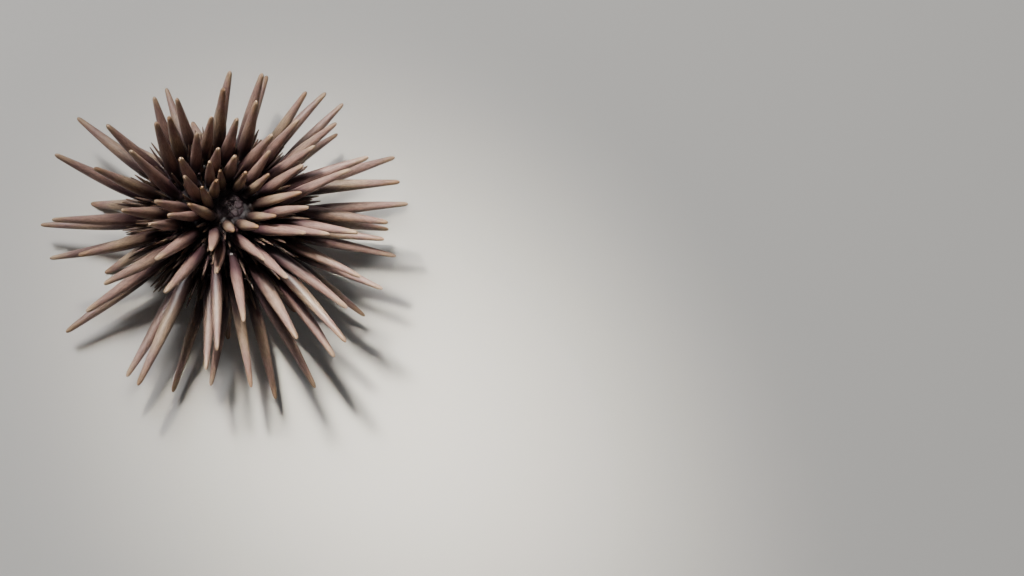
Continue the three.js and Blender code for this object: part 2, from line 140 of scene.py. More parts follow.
# %% [markdown]
# ## The shell's form
#
# An urchin's shell is a low dome with a flatter underside. A superellipse turned round an upright axis gives
# that form from a few sizes: the length and width, the rise above the widest level and the drop below it, and
# a power that says how boxy the curve is. The same function later places every spine.

# %% Shell form
SHELL_LENGTH = 37.0
SHELL_WIDTH = 34.5
CROWN_RISE = 12.0
BELLY_DROP = 7.5
CROWN_POWER = 2.1
BELLY_POWER = 2.7
APEX = WIDEST_HEIGHT + CROWN_RISE
BELLY = WIDEST_HEIGHT - BELLY_DROP
APICAL_RADIUS = 3.2
MOUTH_RADIUS = 7.0


def shell_points(polar, azimuth):
    """Points of the shell. polar runs from 0 at the apex to pi at the mouth."""
    polar, azimuth = np.broadcast_arrays(np.asarray(polar, float), np.asarray(azimuth, float))
    upper = polar < np.pi / 2
    power = np.where(upper, 2 / CROWN_POWER, 2 / BELLY_POWER)
    reach = np.sin(polar) ** power
    lift = np.where(upper, CROWN_RISE, -BELLY_DROP) * np.abs(np.cos(polar)) ** power
    return np.stack(
        [
            reach * SHELL_LENGTH / 2 * np.cos(azimuth),
            reach * SHELL_WIDTH / 2 * np.sin(azimuth),
            WIDEST_HEIGHT + lift,
        ],
        axis=-1,
    )


def shell_normals(points):
    """Outward directions of the shell at those points."""
    points = np.asarray(points, float)
    height = points[..., 2] - WIDEST_HEIGHT
    power = np.where(height >= 0, CROWN_POWER, BELLY_POWER)
    rise = np.where(height >= 0, CROWN_RISE, BELLY_DROP)
    x = 2 * points[..., 0] / SHELL_LENGTH
    y = 2 * points[..., 1] / SHELL_WIDTH
    side = np.maximum(np.hypot(x, y), 1e-9) ** (power - 2)
    up = np.sign(height) * (np.abs(height) / rise) ** (power - 1)
    normals = np.stack([side * x * 2 / SHELL_LENGTH, side * y * 2 / SHELL_WIDTH, up / rise], axis=-1)
    return normals / np.linalg.norm(normals, axis=-1, keepdims=True)


MERIDIAN_STEPS = 360
meridian_polar = np.pi * np.arange(MERIDIAN_STEPS + 1) / MERIDIAN_STEPS
meridian = shell_points(meridian_polar, np.pi / 4)
meridian_arc = np.concatenate([[0], np.cumsum(np.linalg.norm(np.diff(meridian, axis=0), axis=1))])
meridian_radius = np.hypot(meridian[:, 0], meridian[:, 1])
apical_edge = meridian_arc[np.argmax(meridian_radius >= APICAL_RADIUS)]
mouth_edge = meridian_arc[np.nonzero(meridian_radius >= MOUTH_RADIUS)[0][-1]]


def polar_at(arc):
    """The polar angle at that distance from the apex along the shell."""
    return meridian_polar[np.argmax(meridian_arc >= arc)]


print(f"apex to mouth along the shell: {meridian_arc[-1]:.1f} mm")

# %% [markdown]
# ## Zones and rows
#
# Seen from above, the shell is a five-pointed star of ten sectors: five wide ones that carry the largest
# spines, and five narrow ones whose tube feet come through pores. Each sector has two columns of primary
# spines, and the second column starts half a step lower, so the spines stand like bricks in a wall.

# %% Zones
SECTORS = 5
SECTOR_TURN = 14.0  # degrees from +X to the middle of the first wide zone
WIDE_HALF = 20.5
NARROW_HALF = 15.5
NARROW_SIZE = 0.9


def zone_of(kind, sector, middle, half, size):
    """One zone: its name, the bearing of its middle and its half-width in degrees, and its spines' size."""
    return {"name": f"{kind}_{sector + 1}", "middle": middle, "half": half, "size": size}


zones = []
for sector in range(SECTORS):
    middle = SECTOR_TURN + sector * 360 / SECTORS
    zones.append(zone_of("interambulacrum", sector, middle, WIDE_HALF, 1.0))
    zones.append(zone_of("ambulacrum", sector, middle + 180 / SECTORS, NARROW_HALF, NARROW_SIZE))
print("zones:", ", ".join(zone["name"] for zone in zones))

# %% [markdown]
# ## How the spines stand
#
# A resting spine leans from the shell's own normal towards the line straight out from the animal's middle.
# Rows fan out by a few degrees to either side, and a small fixed scatter keeps them from looking combed.
# On one side they are raised and shorter, as beside the wall of a hollow. The scatter comes from a sine
# formula and not from a random number generator, so the same spine always stands the same way.

# %% Spine directions
SPINE_LENGTH = 31.5
SPINE_RADIUS = 1.75
ROW_STEP = 5.3
FIRST_ROW = 1.7
LAST_ROW = 1.6
SPLAY_UP = 0.75
SPLAY_DOWN = 0.35
SCATTER = 3.0
FAN = 5.0
RAISED_BEARING = 112.0
RAISED_SPREAD = 105.0
RAISED_LIFT = 46.0
RAISED_SHORTER = 0.24
RAISED_FADE = 0.35
ENDS_POWER = 0.75
ENDS_RADIUS = 0.6
LENGTH_VARIES = 0.07
RADIUS_VARIES = 0.05
FOR_LENGTH, FOR_RADIUS, FOR_TONE = 4, 5, 7  # what a stray number is for; 1 to 3 are for a direction


def stray(item, aspect):
    """The same number from -1 to 1 each time for the same two whole numbers."""
    wave = math.sin(item * 12.9898 + aspect * 78.233) * 43758.5453
    return 2 * (wave - math.floor(wave)) - 1


def strayed(item):
    """A small vector, the same each time, by which an item strays from its place or direction."""
    return Vector((stray(item, 1), stray(item, 2), stray(item, 3)))


def raised_share(point):
    """How far a spine at that bearing is raised, from 0 to 1."""
    bearing = math.degrees(math.atan2(point.y, point.x))
    away = abs((bearing - RAISED_BEARING + 180) % 360 - 180)
    return math.cos(away / RAISED_SPREAD * math.pi / 2) ** 2 if away < RAISED_SPREAD else 0.0


def turned(direction, axis, degrees):
    result = direction.copy()
    result.rotate(Quaternion(axis, math.radians(degrees)))
    return result


def rest_direction(base, item, fan=0.0):
    """Which way a spine points before it makes room for others."""
    normal = Vector(shell_normals(base))
    outward = (base - shell_middle).normalized()
    direction = normal.lerp(outward, SPLAY_UP if base.z >= WIDEST_HEIGHT else SPLAY_DOWN).normalized()
    direction = turned(direction, Vector((0, 0, 1)), fan)
    sideways = Vector((base.y, -base.x, 0)).normalized()
    level = math.hypot(direction.x, direction.y)
    above = min(1.0, max(0.0, 1 + direction.z / RAISED_FADE))
    direction = turned(direction, sideways, RAISED_LIFT * raised_share(base) * level * above)
    return (direction + strayed(item) * math.sin(math.radians(SCATTER))).normalized()


print("share raised at the raised side:", raised_share(turned(Vector((1, 0, 0)), (0, 0, 1), RAISED_BEARING)))

# %% [markdown]
# ## Rows of primary spines
#
# A primary spine grows from the large knob of one plate, and the plates of a zone lie in two columns from the
# top to the mouth. So a loop steps down each column, one plate at a time. The spines are longest and thickest
# at the widest level, and every second one fans out to the other side. A dictionary for each spine keeps all
# that the later steps need, which makes those steps short.

# %% Rows of primary spines
def primary_spines():
    spines = []
    for zone in zones:
        for side in (-1, 1):
            azimuth = math.radians(zone["middle"] + side * zone["half"] / 2)
            arc = apical_edge + FIRST_ROW + (ROW_STEP / 2 if side > 0 else 0)
            fan = side * FAN
            while arc < mouth_edge - LAST_ROW:
                item = len(spines) + 1
                base = Vector(shell_points(polar_at(arc), azimuth))
                direction = rest_direction(base, item, fan)
                outward = (base - shell_middle).normalized()
                share = math.hypot(outward.x, outward.y) ** ENDS_POWER
                length = SPINE_LENGTH * zone["size"] * share * (1 - RAISED_SHORTER * raised_share(base))
                radius = SPINE_RADIUS * zone["size"] * (ENDS_RADIUS + (1 - ENDS_RADIUS) * share)
                spines.append(
                    {
                        "zone": zone["name"],
                        "base": base,
                        "direction": direction,
                        "length": length * (1 + LENGTH_VARIES * stray(item, FOR_LENGTH)),
                        "radius": radius * (1 + RADIUS_VARIES * stray(item, FOR_RADIUS)),
                        "stiffness": 1,
                    }
                )
                arc += ROW_STEP
                fan = -fan
    return spines


primaries = primary_spines()
print("primary spines:", len(primaries), "longest", round(max(s["length"] for s in primaries), 1), "mm")

# %% [markdown]
# ## The pose
#
# The clearest spines of the photo are given as the places where their tips show, in millimetres across and
# up from the middle of the shell. A tip seen in a picture may lie anywhere along one line of sight, so the
# spine's own length decides how near it is: the line meets a sphere of that radius round the spine's root.
# Each place goes to the spine that has to turn and stretch least and that then shows most nearly as a ray.
# Two spines then swap their places wherever that saves effort, which takes crossings out of the picture.

# %% Pose
SEEN_TIPS = [
    (47.5, 8.3), (49.1, 3.8), (34, 13), (39, 16.4), (44.6, -1.3), (45.8, -10.3), (41.3, -18.7),
    (34.5, -25.5), (32.3, -32.8), (28.9, -36.7), (24.9, -46.8), (13.7, -48), (7.5, -46.8),
    (-1.5, -35.6), (-3.2, -45.2), (-13, -46.3), (-24.6, -41.8), (-22.3, -46.8), (-34.1, -24.3),
    (-30.2, -17.6), (-18.4, -2), (-8.8, 3.6), (-25.1, 1.6), (13.1, 21.8), (24.4, 19), (-0.4, 12.3),
    (20.9, 6.7), (21.8, -4.2), (11, -11.3), (-1.6, -14.7), (-14.7, -19.8), (9, 30.2),
]
MOST_LEAN = 26.0
MOST_STRETCH = 1.15
FACING = -0.15  # a spine that points further away from the camera can't be seen
POSED = 5  # how much stiffer a posed spine is than the others when they make room
SLANT_SHARE = 2.0
SWAPPING_ROUNDS = 4
LEAST_SAVING = 0.001


def reach_to(spine, across, up):
    """From a spine's base to the point where its tip shows at that place of the picture."""
    tip = spine["base"] + spine["direction"] * spine["length"] - shell_middle
    nearer = 1 - tip.dot(to_camera) / CAMERA_DISTANCE
    seen = picture_across * (across * nearer) + picture_up * (up * nearer)
    to_line = seen + shell_middle - spine["base"]
    along = to_line.dot(to_camera)
    beyond = math.sqrt(max(0.0, along**2 - to_line.length_squared + spine["length"] ** 2))
    ends = [to_line + to_camera * (depth - along) for depth in (beyond, -beyond)]
    return min(ends, key=lambda end: end.angle(spine["direction"]))


def slant_of(spine, across, up):
    """How far a spine with its tip there shows aslant to a ray from the middle of the picture's animal."""
    root = spine["base"] - shell_middle
    bearing = math.atan2(up - root.dot(picture_up), across - root.dot(picture_across))
    return abs((bearing - math.atan2(up, across) + math.pi) % (2 * math.pi) - math.pi)


def offer_of(place, spine):
    """What it takes to bring that spine's tip to that place."""
    across, up = SEEN_TIPS[place]
    reach = reach_to(spine, across, up)
    stretch = max(0.0, reach.length / spine["length"] - 1)
    effort = reach.angle(spine["direction"]) + SLANT_SHARE * slant_of(spine, across, up) + stretch
    return {"place": place, "spine": spine, "reach": reach, "effort": effort}


def best_offers(spines):
    """One spine for each place, first by the least effort and then by swapping."""
    facing = [spine for spine in spines if spine["direction"].dot(to_camera) > FACING]
    offers = [offer_of(place, spine) for spine in facing for place in range(len(SEEN_TIPS))]
    taken = []
    for offer in sorted(offers, key=lambda one: one["effort"]):
        if not any(offer["place"] == other["place"] or offer["spine"] is other["spine"] for other in taken):
            taken.append(offer)
    for _ in range(SWAPPING_ROUNDS):
        for first in range(len(taken)):
            for second in range(first):
                a, b = taken[first], taken[second]
                for_a, for_b = offer_of(b["place"], a["spine"]), offer_of(a["place"], b["spine"])
                if a["effort"] + b["effort"] - for_a["effort"] - for_b["effort"] > LEAST_SAVING:
                    taken[first], taken[second] = for_a, for_b
    return taken


def pose(spines):
    """Turns the nearest spines so that their tips show where the photo has them."""
    taken = best_offers(spines)
    for offer in taken:
        spine, reach = offer["spine"], offer["reach"]
        spine["stiffness"] = POSED
        turn = reach.angle(spine["direction"])
        spine["length"] = min(max(reach.length, spine["length"]), spine["length"] * MOST_STRETCH)
        share = min(1, math.radians(MOST_LEAN) / turn)
        spine["direction"] = spine["direction"].lerp(reach.normalized(), share).normalized()
    return len(taken)


print("posed spines:", pose(primaries))

# %% [markdown]
# ## Making room
#
# Two spines that would cross push each other aside, as living ones do. The nearest places of two straight
# spines come from a short formula, and repeating small pushes for every pair settles the whole animal.

# %% Room between spines
NECK = 0.76
FULLEST = 0.32
BLUNT_START = 0.94
BLUNT = 0.4
SPINE_GAP = 0.45
SETTLING_ROUNDS = 60
BY_THE_ROOTS = 2.0
LEAST_LEVER = 4.0
FLOOR_BITE = 0.5


def shaft_radius(spine, distance):
    share = distance / spine["length"]
    if share < FULLEST:
        shape = NECK + (1 - NECK) * share / FULLEST
    else:
        shape = 1 - (1 - BLUNT) * (share - FULLEST) / (BLUNT_START - FULLEST)
    return spine["radius"] * shape


def nearest(a, b):
    """The nearest places on two spines, as distances from their bases, and the vector between them."""
    between = a["base"] - b["base"]
    cosine = a["direction"].dot(b["direction"])
    along_a = between.dot(a["direction"])
    along_b = between.dot(b["direction"])
    spread = max(1 - cosine**2, 1e-6)
    on_a = min(max((cosine * along_b - along_a) / spread, 0.0), a["length"])
    on_b = min(max(cosine * on_a + along_b, 0.0), b["length"])
    on_a = min(max(cosine * on_b - along_a, 0.0), a["length"])
    return on_a, on_b, between + a["direction"] * on_a - b["direction"] * on_b


def settle(spines):
    for _ in range(SETTLING_ROUNDS):
        for index, a in enumerate(spines):
            for b in spines[index + 1 :]:
                on_a, on_b, offset = nearest(a, b)
                apart = offset.length
                short = shaft_radius(a, on_a) + shaft_radius(b, on_b) + SPINE_GAP - apart
                if short <= 0 or on_a + on_b < BY_THE_ROOTS:
                    continue
                push = offset / max(apart, 1e-6)
                ease = a["stiffness"] + b["stiffness"]
                turn_a = short * b["stiffness"] / ease / max(on_a, LEAST_LEVER)
                turn_b = short * a["stiffness"] / ease / max(on_b, LEAST_LEVER)
                a["direction"] = (a["direction"] + push * turn_a).normalized()
                b["direction"] = (b["direction"] - push * turn_b).normalized()


def reaching_floor(spine):
    """A spine that points down ends on the floor."""
    fall = -spine["direction"].z * spine["length"]
    room = spine["base"].z + FLOOR_BITE
    if fall > room:
        spine["length"] *= room / fall
    return spine


settle(primaries)
for spine in primaries:
    reaching_floor(spine)


def miss_of_tips():
    """How far the worked-out tips are from the frame's own, as a check that both agree."""
    misses = []
    for spine in primaries:
        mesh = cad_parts[spine["zone"]].data
        tip = Vector(in_metres(spine["base"] + spine["direction"] * spine["length"]))
        if tip.z > MM:
            misses.append(min((vertex.co - tip).length for vertex in mesh.vertices))
    return max(misses) / MM


print(f"largest miss of a tip: {miss_of_tips():.3f} mm")

# %% [markdown]
# ## Small spines between the large ones
#
# Secondary spines stand round every primary, and miliary spines, no longer than a grain of rice, fill what is
# left. Modelling each by hand would be hopeless, and a random scatter leaves bald spots. Points on a golden
# spiral lie evenly on any round form, so they are taken first, and those too near a large spine are dropped.
# Each kind starts its spiral at another turn. Its room is what lies between two roots, and is below zero for
# the secondary spines, because they crowd round the collar of a primary one. Its gap is kept along the
# shafts.

# %% Secondary and miliary spines
GOLDEN_TURN = math.pi * (3 - math.sqrt(5))
BARE = 0.9  # beyond the edge of the apical disc and of the mouth skin
RADIUS_SHARE = 0.4  # of how much the length varies
SECONDARY_SIZES = {
    "count": 740, "start": 0.0, "first_item": 3000,
    "length": 7.5, "radius": 0.5, "varies": 0.25, "room": -0.3, "gap": 0.05,
}
TERTIARY_SIZES = {
    "count": 900, "start": 1.3, "first_item": 5000,
    "length": 4.6, "radius": 0.34, "varies": 0.3, "room": 0.05, "gap": 0.02,
}
MILIARY_SIZES = {
    "count": 2600, "start": 2.1, "first_item": 9000,
    "length": 2.2, "radius": 0.2, "varies": 0.3, "room": 0.05, "gap": 0.02,
}


def spiral_bases(count, start):
    """Evenly spread places on the shell, each with its number, outside the disc and the mouth skin."""
    index = np.arange(count)
    height = 1 - 2 * (index + 0.5) / count
    points = shell_points(np.arccos(height), index * GOLDEN_TURN + start)
    radius = np.hypot(points[:, 0], points[:, 1])
    clear = radius > BARE + np.where(points[:, 2] > WIDEST_HEIGHT, APICAL_RADIUS, MOUTH_RADIUS)
    return [(int(number), Vector(points[number])) for number in index[clear]]


def column_of(spines, key):
    """One value of every spine, as an array."""
    return np.array([spine[key] for spine in spines])


def misses_primaries(spine, gap):
    for other in primaries:
        on_spine, on_other, offset = nearest(spine, other)
        if offset.length < shaft_radius(spine, on_spine) + shaft_radius(other, on_other) + gap:
            return False
    return True


def small_spines(sizes, among):
    """Small spines of one kind between those that are there already."""
    roots, radii = column_of(among, "base"), column_of(among, "radius")
    spines = []
    for number, base in spiral_bases(sizes["count"], sizes["start"]):
        item = sizes["first_item"] + number
        radius = sizes["radius"] * (1 + sizes["varies"] * RADIUS_SHARE * stray(item, FOR_RADIUS))
        away = np.linalg.norm(roots - np.array(base), axis=1)
        if np.any(away <= radii + radius + sizes["room"]):
            continue
        length = sizes["length"] * (1 + sizes["varies"] * stray(item, FOR_LENGTH))
        spine = {"base": base, "direction": rest_direction(base, item), "length": length, "radius": radius}
        if misses_primaries(reaching_floor(spine), sizes["gap"]):
            spines.append(spine)
    return spines


secondaries = small_spines(SECONDARY_SIZES, primaries)
tertiaries = small_spines(TERTIARY_SIZES, primaries + secondaries)
miliaries = small_spines(MILIARY_SIZES, primaries + secondaries + tertiaries)
for kind, spines in (("secondary", secondaries), ("tertiary", tertiaries), ("miliary", miliaries)):
    print(kind, "spines:", len(spines))

# %% [markdown]
# ## One function for every spine
#
# All spines are alike in kind: rings of points along a line, closed by a point at the tip. So one function
# makes them all at once with arrays, from a profile (how far along and how thick), a number of sides, and the
# depth of the fine ridges. It also stores three things that the materials need later: how far along the spine
# a point is, a tone that is the same all over one spine, and coordinates for streaks that run lengthwise.

# %% Spine mesh
STEEP = 0.9  # the height of a direction above which straight up can't tell what lies across it
RIDGES_RISE = 4  # how soon the ridges are at their full depth
RIDGES_END = 1.05  # and where they have faded away, as a share of the length


def frames_of(directions):
    """Two directions across each spine, so that the three make a right-handed frame."""
    reference = np.where(np.abs(directions[:, 2:]) < STEEP, [[0.0, 0.0, 1.0]], [[1.0, 0.0, 0.0]])
    across = np.cross(reference, directions)
    across /= np.linalg.norm(across, axis=1, keepdims=True)
    return across, np.cross(directions, across)


ROUND_A_FACE = ((0, 0), (0, 1), (1, 1), (1, 0))  # each corner as steps along and around


def between_rings(ring, side, sides):
    """The four corners of the face between a ring and the next, in the order of ROUND_A_FACE."""
    return [(ring + along) * sides + (side + around) % sides for along, around in ROUND_A_FACE]


def turned_over(corners):
    """The same face as seen from its other side, from the same first corner."""
    return [corners[0], *reversed(corners[1:])]


def tube_faces(rings, sides):
    """Faces of one closed spine, and where each of their corners lies on its flat patch, from 0 to 1."""
    faces = []
    corners = []
    for ring in range(rings - 1):
        for side in range(sides):
            faces.append(between_rings(ring, side, sides))
            patch = [((side + around) / sides, (ring + along) / rings) for along, around in ROUND_A_FACE]
            corners.append(patch)
    root, tip = rings * sides, rings * sides + 1
    last = (rings - 1) * sides
    for side in range(sides):
        after = (side + 1) % sides
        left, middle, right = side / sides, (side + 0.5) / sides, (side + 1) / sides
        faces.append([root, after, side])
        corners.append([(middle, 0), (right, 0), (left, 0)])
        faces.append([last + side, last + after, tip])
        corners.append([(left, (rings - 1) / rings), (right, (rings - 1) / rings), (middle, 1)])
    return faces, corners


GRAIN_STRETCH = 0.12  # well below 1, so that a spot of the noise is drawn out into a streak
GRAIN_JUMPS = (9.0, 5.0, 3.0)  # how far apart in the noise two spines lie, so that no two are alike


def spine_points(spines, heights, widths, sides, ridges, ridge_depth, bow):
    """Points of all the spines: the rings one after another, then the middle of the root and the tip."""
    base, direction = column_of(spines, "base"), column_of(spines, "direction")
    length = column_of(spines, "length")[:, None]
    across, beside = frames_of(direction)
    angle = 2 * np.pi * np.arange(sides) / sides
    share = np.clip(heights / length, 0, 1)
    fading = np.clip(RIDGES_RISE * share * (RIDGES_END - share), 0, 1)
    ridge = 1 + ridge_depth * np.cos(ridges * angle)[None, None, :] * fading[..., None]
    round_part = (
        across[:, None, None, :] * np.cos(angle)[None, None, :, None]
        + beside[:, None, None, :] * np.sin(angle)[None, None, :, None]
    )
    bend = bow * length * np.sin(np.pi * share)
    centre = (
        base[:, None, :]
        + direction[:, None, :] * heights[..., None]
        + across[:, None, :] * bend[..., None]
    )
    points = centre[:, :, None, :] + round_part * (widths[..., None] * ridge)[..., None]
    points = points.reshape(len(spines), -1, 3)
    tip = base + direction * length
    points = np.concatenate([points, centre[:, :1], tip[:, None]], axis=1)
    points[..., 2] = np.maximum(points[..., 2], 0)
    return points


def by_rings(values, sides, at_tip):
    """One value for every point, from one for every ring, with the root's and the tip's at the end."""
    return np.concatenate([np.repeat(values, sides, axis=1), values[:, :1], at_tip], axis=1)


def spine_arrays(spines, profile, sides, ridges=0, ridge_depth=0.0, bow=0.0):
    """Points of all the spines, with what their materials need at each point."""
    length = column_of(spines, "length")
    heights, widths = profile(length, column_of(spines, "radius"))
    points = spine_points(spines, heights, widths, sides, ridges, ridge_depth, bow)
    count, rings = heights.shape
    share = np.clip(heights / length[:, None], 0, 1)
    along = by_rings(share, sides, np.ones((count, 1)))
    ring_height = by_rings(heights, sides, length[:, None])
    tone = np.array([[stray(number + 1, FOR_TONE)] for number in range(count)])
    around = np.append(np.tile(2 * np.pi * np.arange(sides) / sides, rings), [0.0, 0.0])
    place = (np.cos(around)[None, :], np.sin(around)[None, :], GRAIN_STRETCH * ring_height)
    grain = np.stack([value + jump * tone for value, jump in zip(place, GRAIN_JUMPS)], axis=-1)
    return points, along, np.repeat(tone, points.shape[1], axis=1), grain


example_faces, _ = tube_faces(2, 6)
print("a closed tube of 2 rings with 6 sides has", len(example_faces), "faces")

# %% [markdown]
# ## Turning arrays into pieces
#
# A piece is a mesh object that rides on the frame's one body. Its flat map, OFBake, gives every spine a patch
# of its own, so that colours can be baked later without one spine's colour running into the next. Large
# spines share the map side by side as upright strips. Small ones get a tiny patch at their root's own place.

# %% Pieces
TINY_PATCH = 0.003
ROOTS_REACH = 0.47  # how far from the map's middle a root below the mouth would lie
STRIP_SHARE = 0.84  # of the room that each large spine has on the map
STRIP_HEIGHT = 0.98


def add_object(name, mesh, smooth=True):
    piece = bpy.data.objects.new(name, mesh)
    bpy.context.scene.collection.objects.link(piece)
    mesh.polygons.foreach_set("use_smooth", [smooth] * len(mesh.polygons))
    mesh.update()
    return piece


def store(mesh, name, kind, values):
    attribute = mesh.attributes.new(name, kind, "POINT")
    field = "vector" if kind == "FLOAT_VECTOR" else "value"
    attribute.data.foreach_set(field, np.asarray(values, np.float32).ravel())


def store_map(mesh, corners):
    """The flat map, given as a place for every corner of every face."""
    mesh.uv_layers.new(name="OFBake").data.foreach_set("uv", np.asarray(corners, np.float32).ravel())


def root_patches(spines):
    """Each spine's lower left corner on the map: its root's place on the skin seen as a flat ring."""
    base = column_of(spines, "base")
    azimuth = np.arctan2(base[:, 1], base[:, 0])
    polar = np.arccos(np.clip((base[:, 2] - WIDEST_HEIGHT) / CROWN_RISE, -1, 1))
    reach = ROOTS_REACH * polar / np.pi
    corner_at = np.stack([0.5 + reach * np.cos(azimuth), 0.5 + reach * np.sin(azimuth)], axis=1)
    return corner_at, (TINY_PATCH, TINY_PATCH)


def strip_patches(spines):
    """Each spine's own upright strip of the map."""
    count = len(spines)
    left = (np.arange(count) + (1 - STRIP_SHARE) / 2) / count
    foot = np.full(count, (1 - STRIP_HEIGHT) / 2)
    return np.stack([left, foot], axis=1), (STRIP_SHARE / count, STRIP_HEIGHT)


def spines_piece(name, spines, profile, sides, patches, **form):
    points, along, tone, grain = spine_arrays(spines, profile, sides, **form)
    count, each = points.shape[:2]
    faces, corners = tube_faces((each - 2) // sides, sides)
    mesh = bpy.data.meshes.new(name)
    all_faces = [[corner + number * each for corner in face] for number in range(count) for face in faces]
    mesh.from_pydata(in_metres(points.reshape(-1, 3)), [], all_faces)
    on_patch = np.array([corner for face in corners for corner in face])
    corner_at, size = patches(spines)
    store_map(mesh, corner_at[:, None, :] + on_patch[None, :, :] * np.array(size))
    store(mesh, "along", "FLOAT", along)
    store(mesh, "tone", "FLOAT", tone)
    store(mesh, "grain", "FLOAT_VECTOR", grain)
    piece = add_object(name, mesh)
    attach(piece, "root")
    return piece


print("a small spine's patch is", TINY_PATCH, "of the map across")

# %% [markdown]
# ## Helpers for materials
#
# A shader's colour is built from small nodes: a value that was stored in the mesh, a noise, a ramp that turns
# a number into a colour, and mixes. A few helpers give each of them one line, so that a material below reads
# like a recipe. Colours are written as they look on a screen, and turned into the linear ones that light
# obeys.

# %% Material helpers
def srgb(red, green, blue):
    """A colour given as it looks on a screen, from 0 to 255, as the linear one that a shader needs."""
    shares = [channel / 255 for channel in (red, green, blue)]
    linear = [share / 12.92 if share <= 0.04 else ((share + 0.055) / 1.055) ** 2.4 for share in shares]
    return (*linear, 1.0)


def new_material(name):
    material = bpy.data.materials.new(name)
    material.use_nodes = True
    nodes = material.node_tree.nodes
    return material, nodes, material.node_tree.links, nodes["Principled BSDF"]


def ramp_of(nodes, stops):
    ramp = nodes.new("ShaderNodeValToRGB")
    elements = ramp.color_ramp.elements
    while len(elements) < len(stops):
        elements.new(0.5)
    for element, (position, colour) in zip(elements, stops):
        element.position = position
        element.color = colour
    return ramp


def attribute_node(nodes, name):
    node = nodes.new("ShaderNodeAttribute")
    node.attribute_name = name
    return node


def noise_node(nodes, links, source, scale, detail=3.0, roughness=0.5):
    noise = nodes.new("ShaderNodeTexNoise")
    noise.inputs["Scale"].default_value = scale
    noise.inputs["Detail"].default_value = detail
    noise.inputs["Roughness"].default_value = roughness
    links.new(source, noise.inputs["Vector"])
    return noise


def object_place(nodes):
    """Where a point lies in its own object, in metres."""
    return nodes.new("ShaderNodeTexCoord").outputs["Object"]


def mix_colours(nodes, links, factor, first, second, blend="MIX"):
    mix = nodes.new("ShaderNodeMix")
    mix.data_type = "RGBA"
    mix.blend_type = blend
    for socket, value in ((mix.inputs[0], factor), (mix.inputs[6], first), (mix.inputs[7], second)):
        if isinstance(value, (float, tuple)):
            socket.default_value = value
        else:
            links.new(value, socket)
    return mix.outputs[2]


def map_range(nodes, links, source, low, high, to_low, to_high):
    node = nodes.new("ShaderNodeMapRange")
    for socket, value in zip(("From Min", "From Max", "To Min", "To Max"), (low, high, to_low, to_high)):
        node.inputs[socket].default_value = value
    links.new(source, node.inputs["Value"])
    return node.outputs["Result"]


def bump(nodes, links, height, distance, shader, strength=1.0):
    node = nodes.new("ShaderNodeBump")
    node.inputs["Distance"].default_value = distance
    node.inputs["Strength"].default_value = strength
    links.new(height, node.inputs["Height"])
    links.new(node.outputs["Normal"], shader.inputs["Normal"])


print("a middle grey of 128 is", round(srgb(128, 128, 128)[0], 3), "in linear light")

# %% [markdown]
# ## Colours of the spines
#
# A purple urchin is never one purple. Each spine runs from a nearly black base through mauve-brown to a
# lighter, rosy-tan shaft, some spines are browner and some pinker, and fine pale streaks run along them all.
# The near-black base is partly the spine's own darker root and partly painted shade, which darkens the middle
# of the animal. The lighter tan band halfway up the browner spines is partly a painted highlight.
# The three stored values drive this: "along" picks the place on a colour ramp, "tone" blends two ramps, and
# "grain" stretches a noise into streaks. Roughness varies with the same streaks, as wear does.

# %% Spine material
# The darkest stops, at the root, are partly painted shade. The tan stop in the middle of the brown ramp is
# partly a painted highlight.
UMBER_ROOT_SHADE = srgb(16, 11, 11)
PLUM_ROOT_SHADE = srgb(26, 15, 19)
MAUVE = srgb(80, 56, 60)
BROWN = srgb(68, 50, 44)
ROSE = srgb(148, 117, 108)
TAN_MID_HIGHLIGHT = srgb(160, 137, 112)
OCHRE = srgb(150, 116, 82)
PALE_TIP = srgb(176, 148, 120)
ROSY_STOPS = [(0.0, PLUM_ROOT_SHADE), (0.26, MAUVE), (0.55, ROSE), (0.82, ROSE), (0.97, PALE_TIP)]
BROWN_STOPS = [(0.0, UMBER_ROOT_SHADE), (0.28, BROWN), (0.6, TAN_MID_HIGHLIGHT), (0.78, ROSE), (1.0, OCHRE)]
BLOTCH_SHARE = 0.34  # of the ramp, by which blotches move a colour up or down the spine


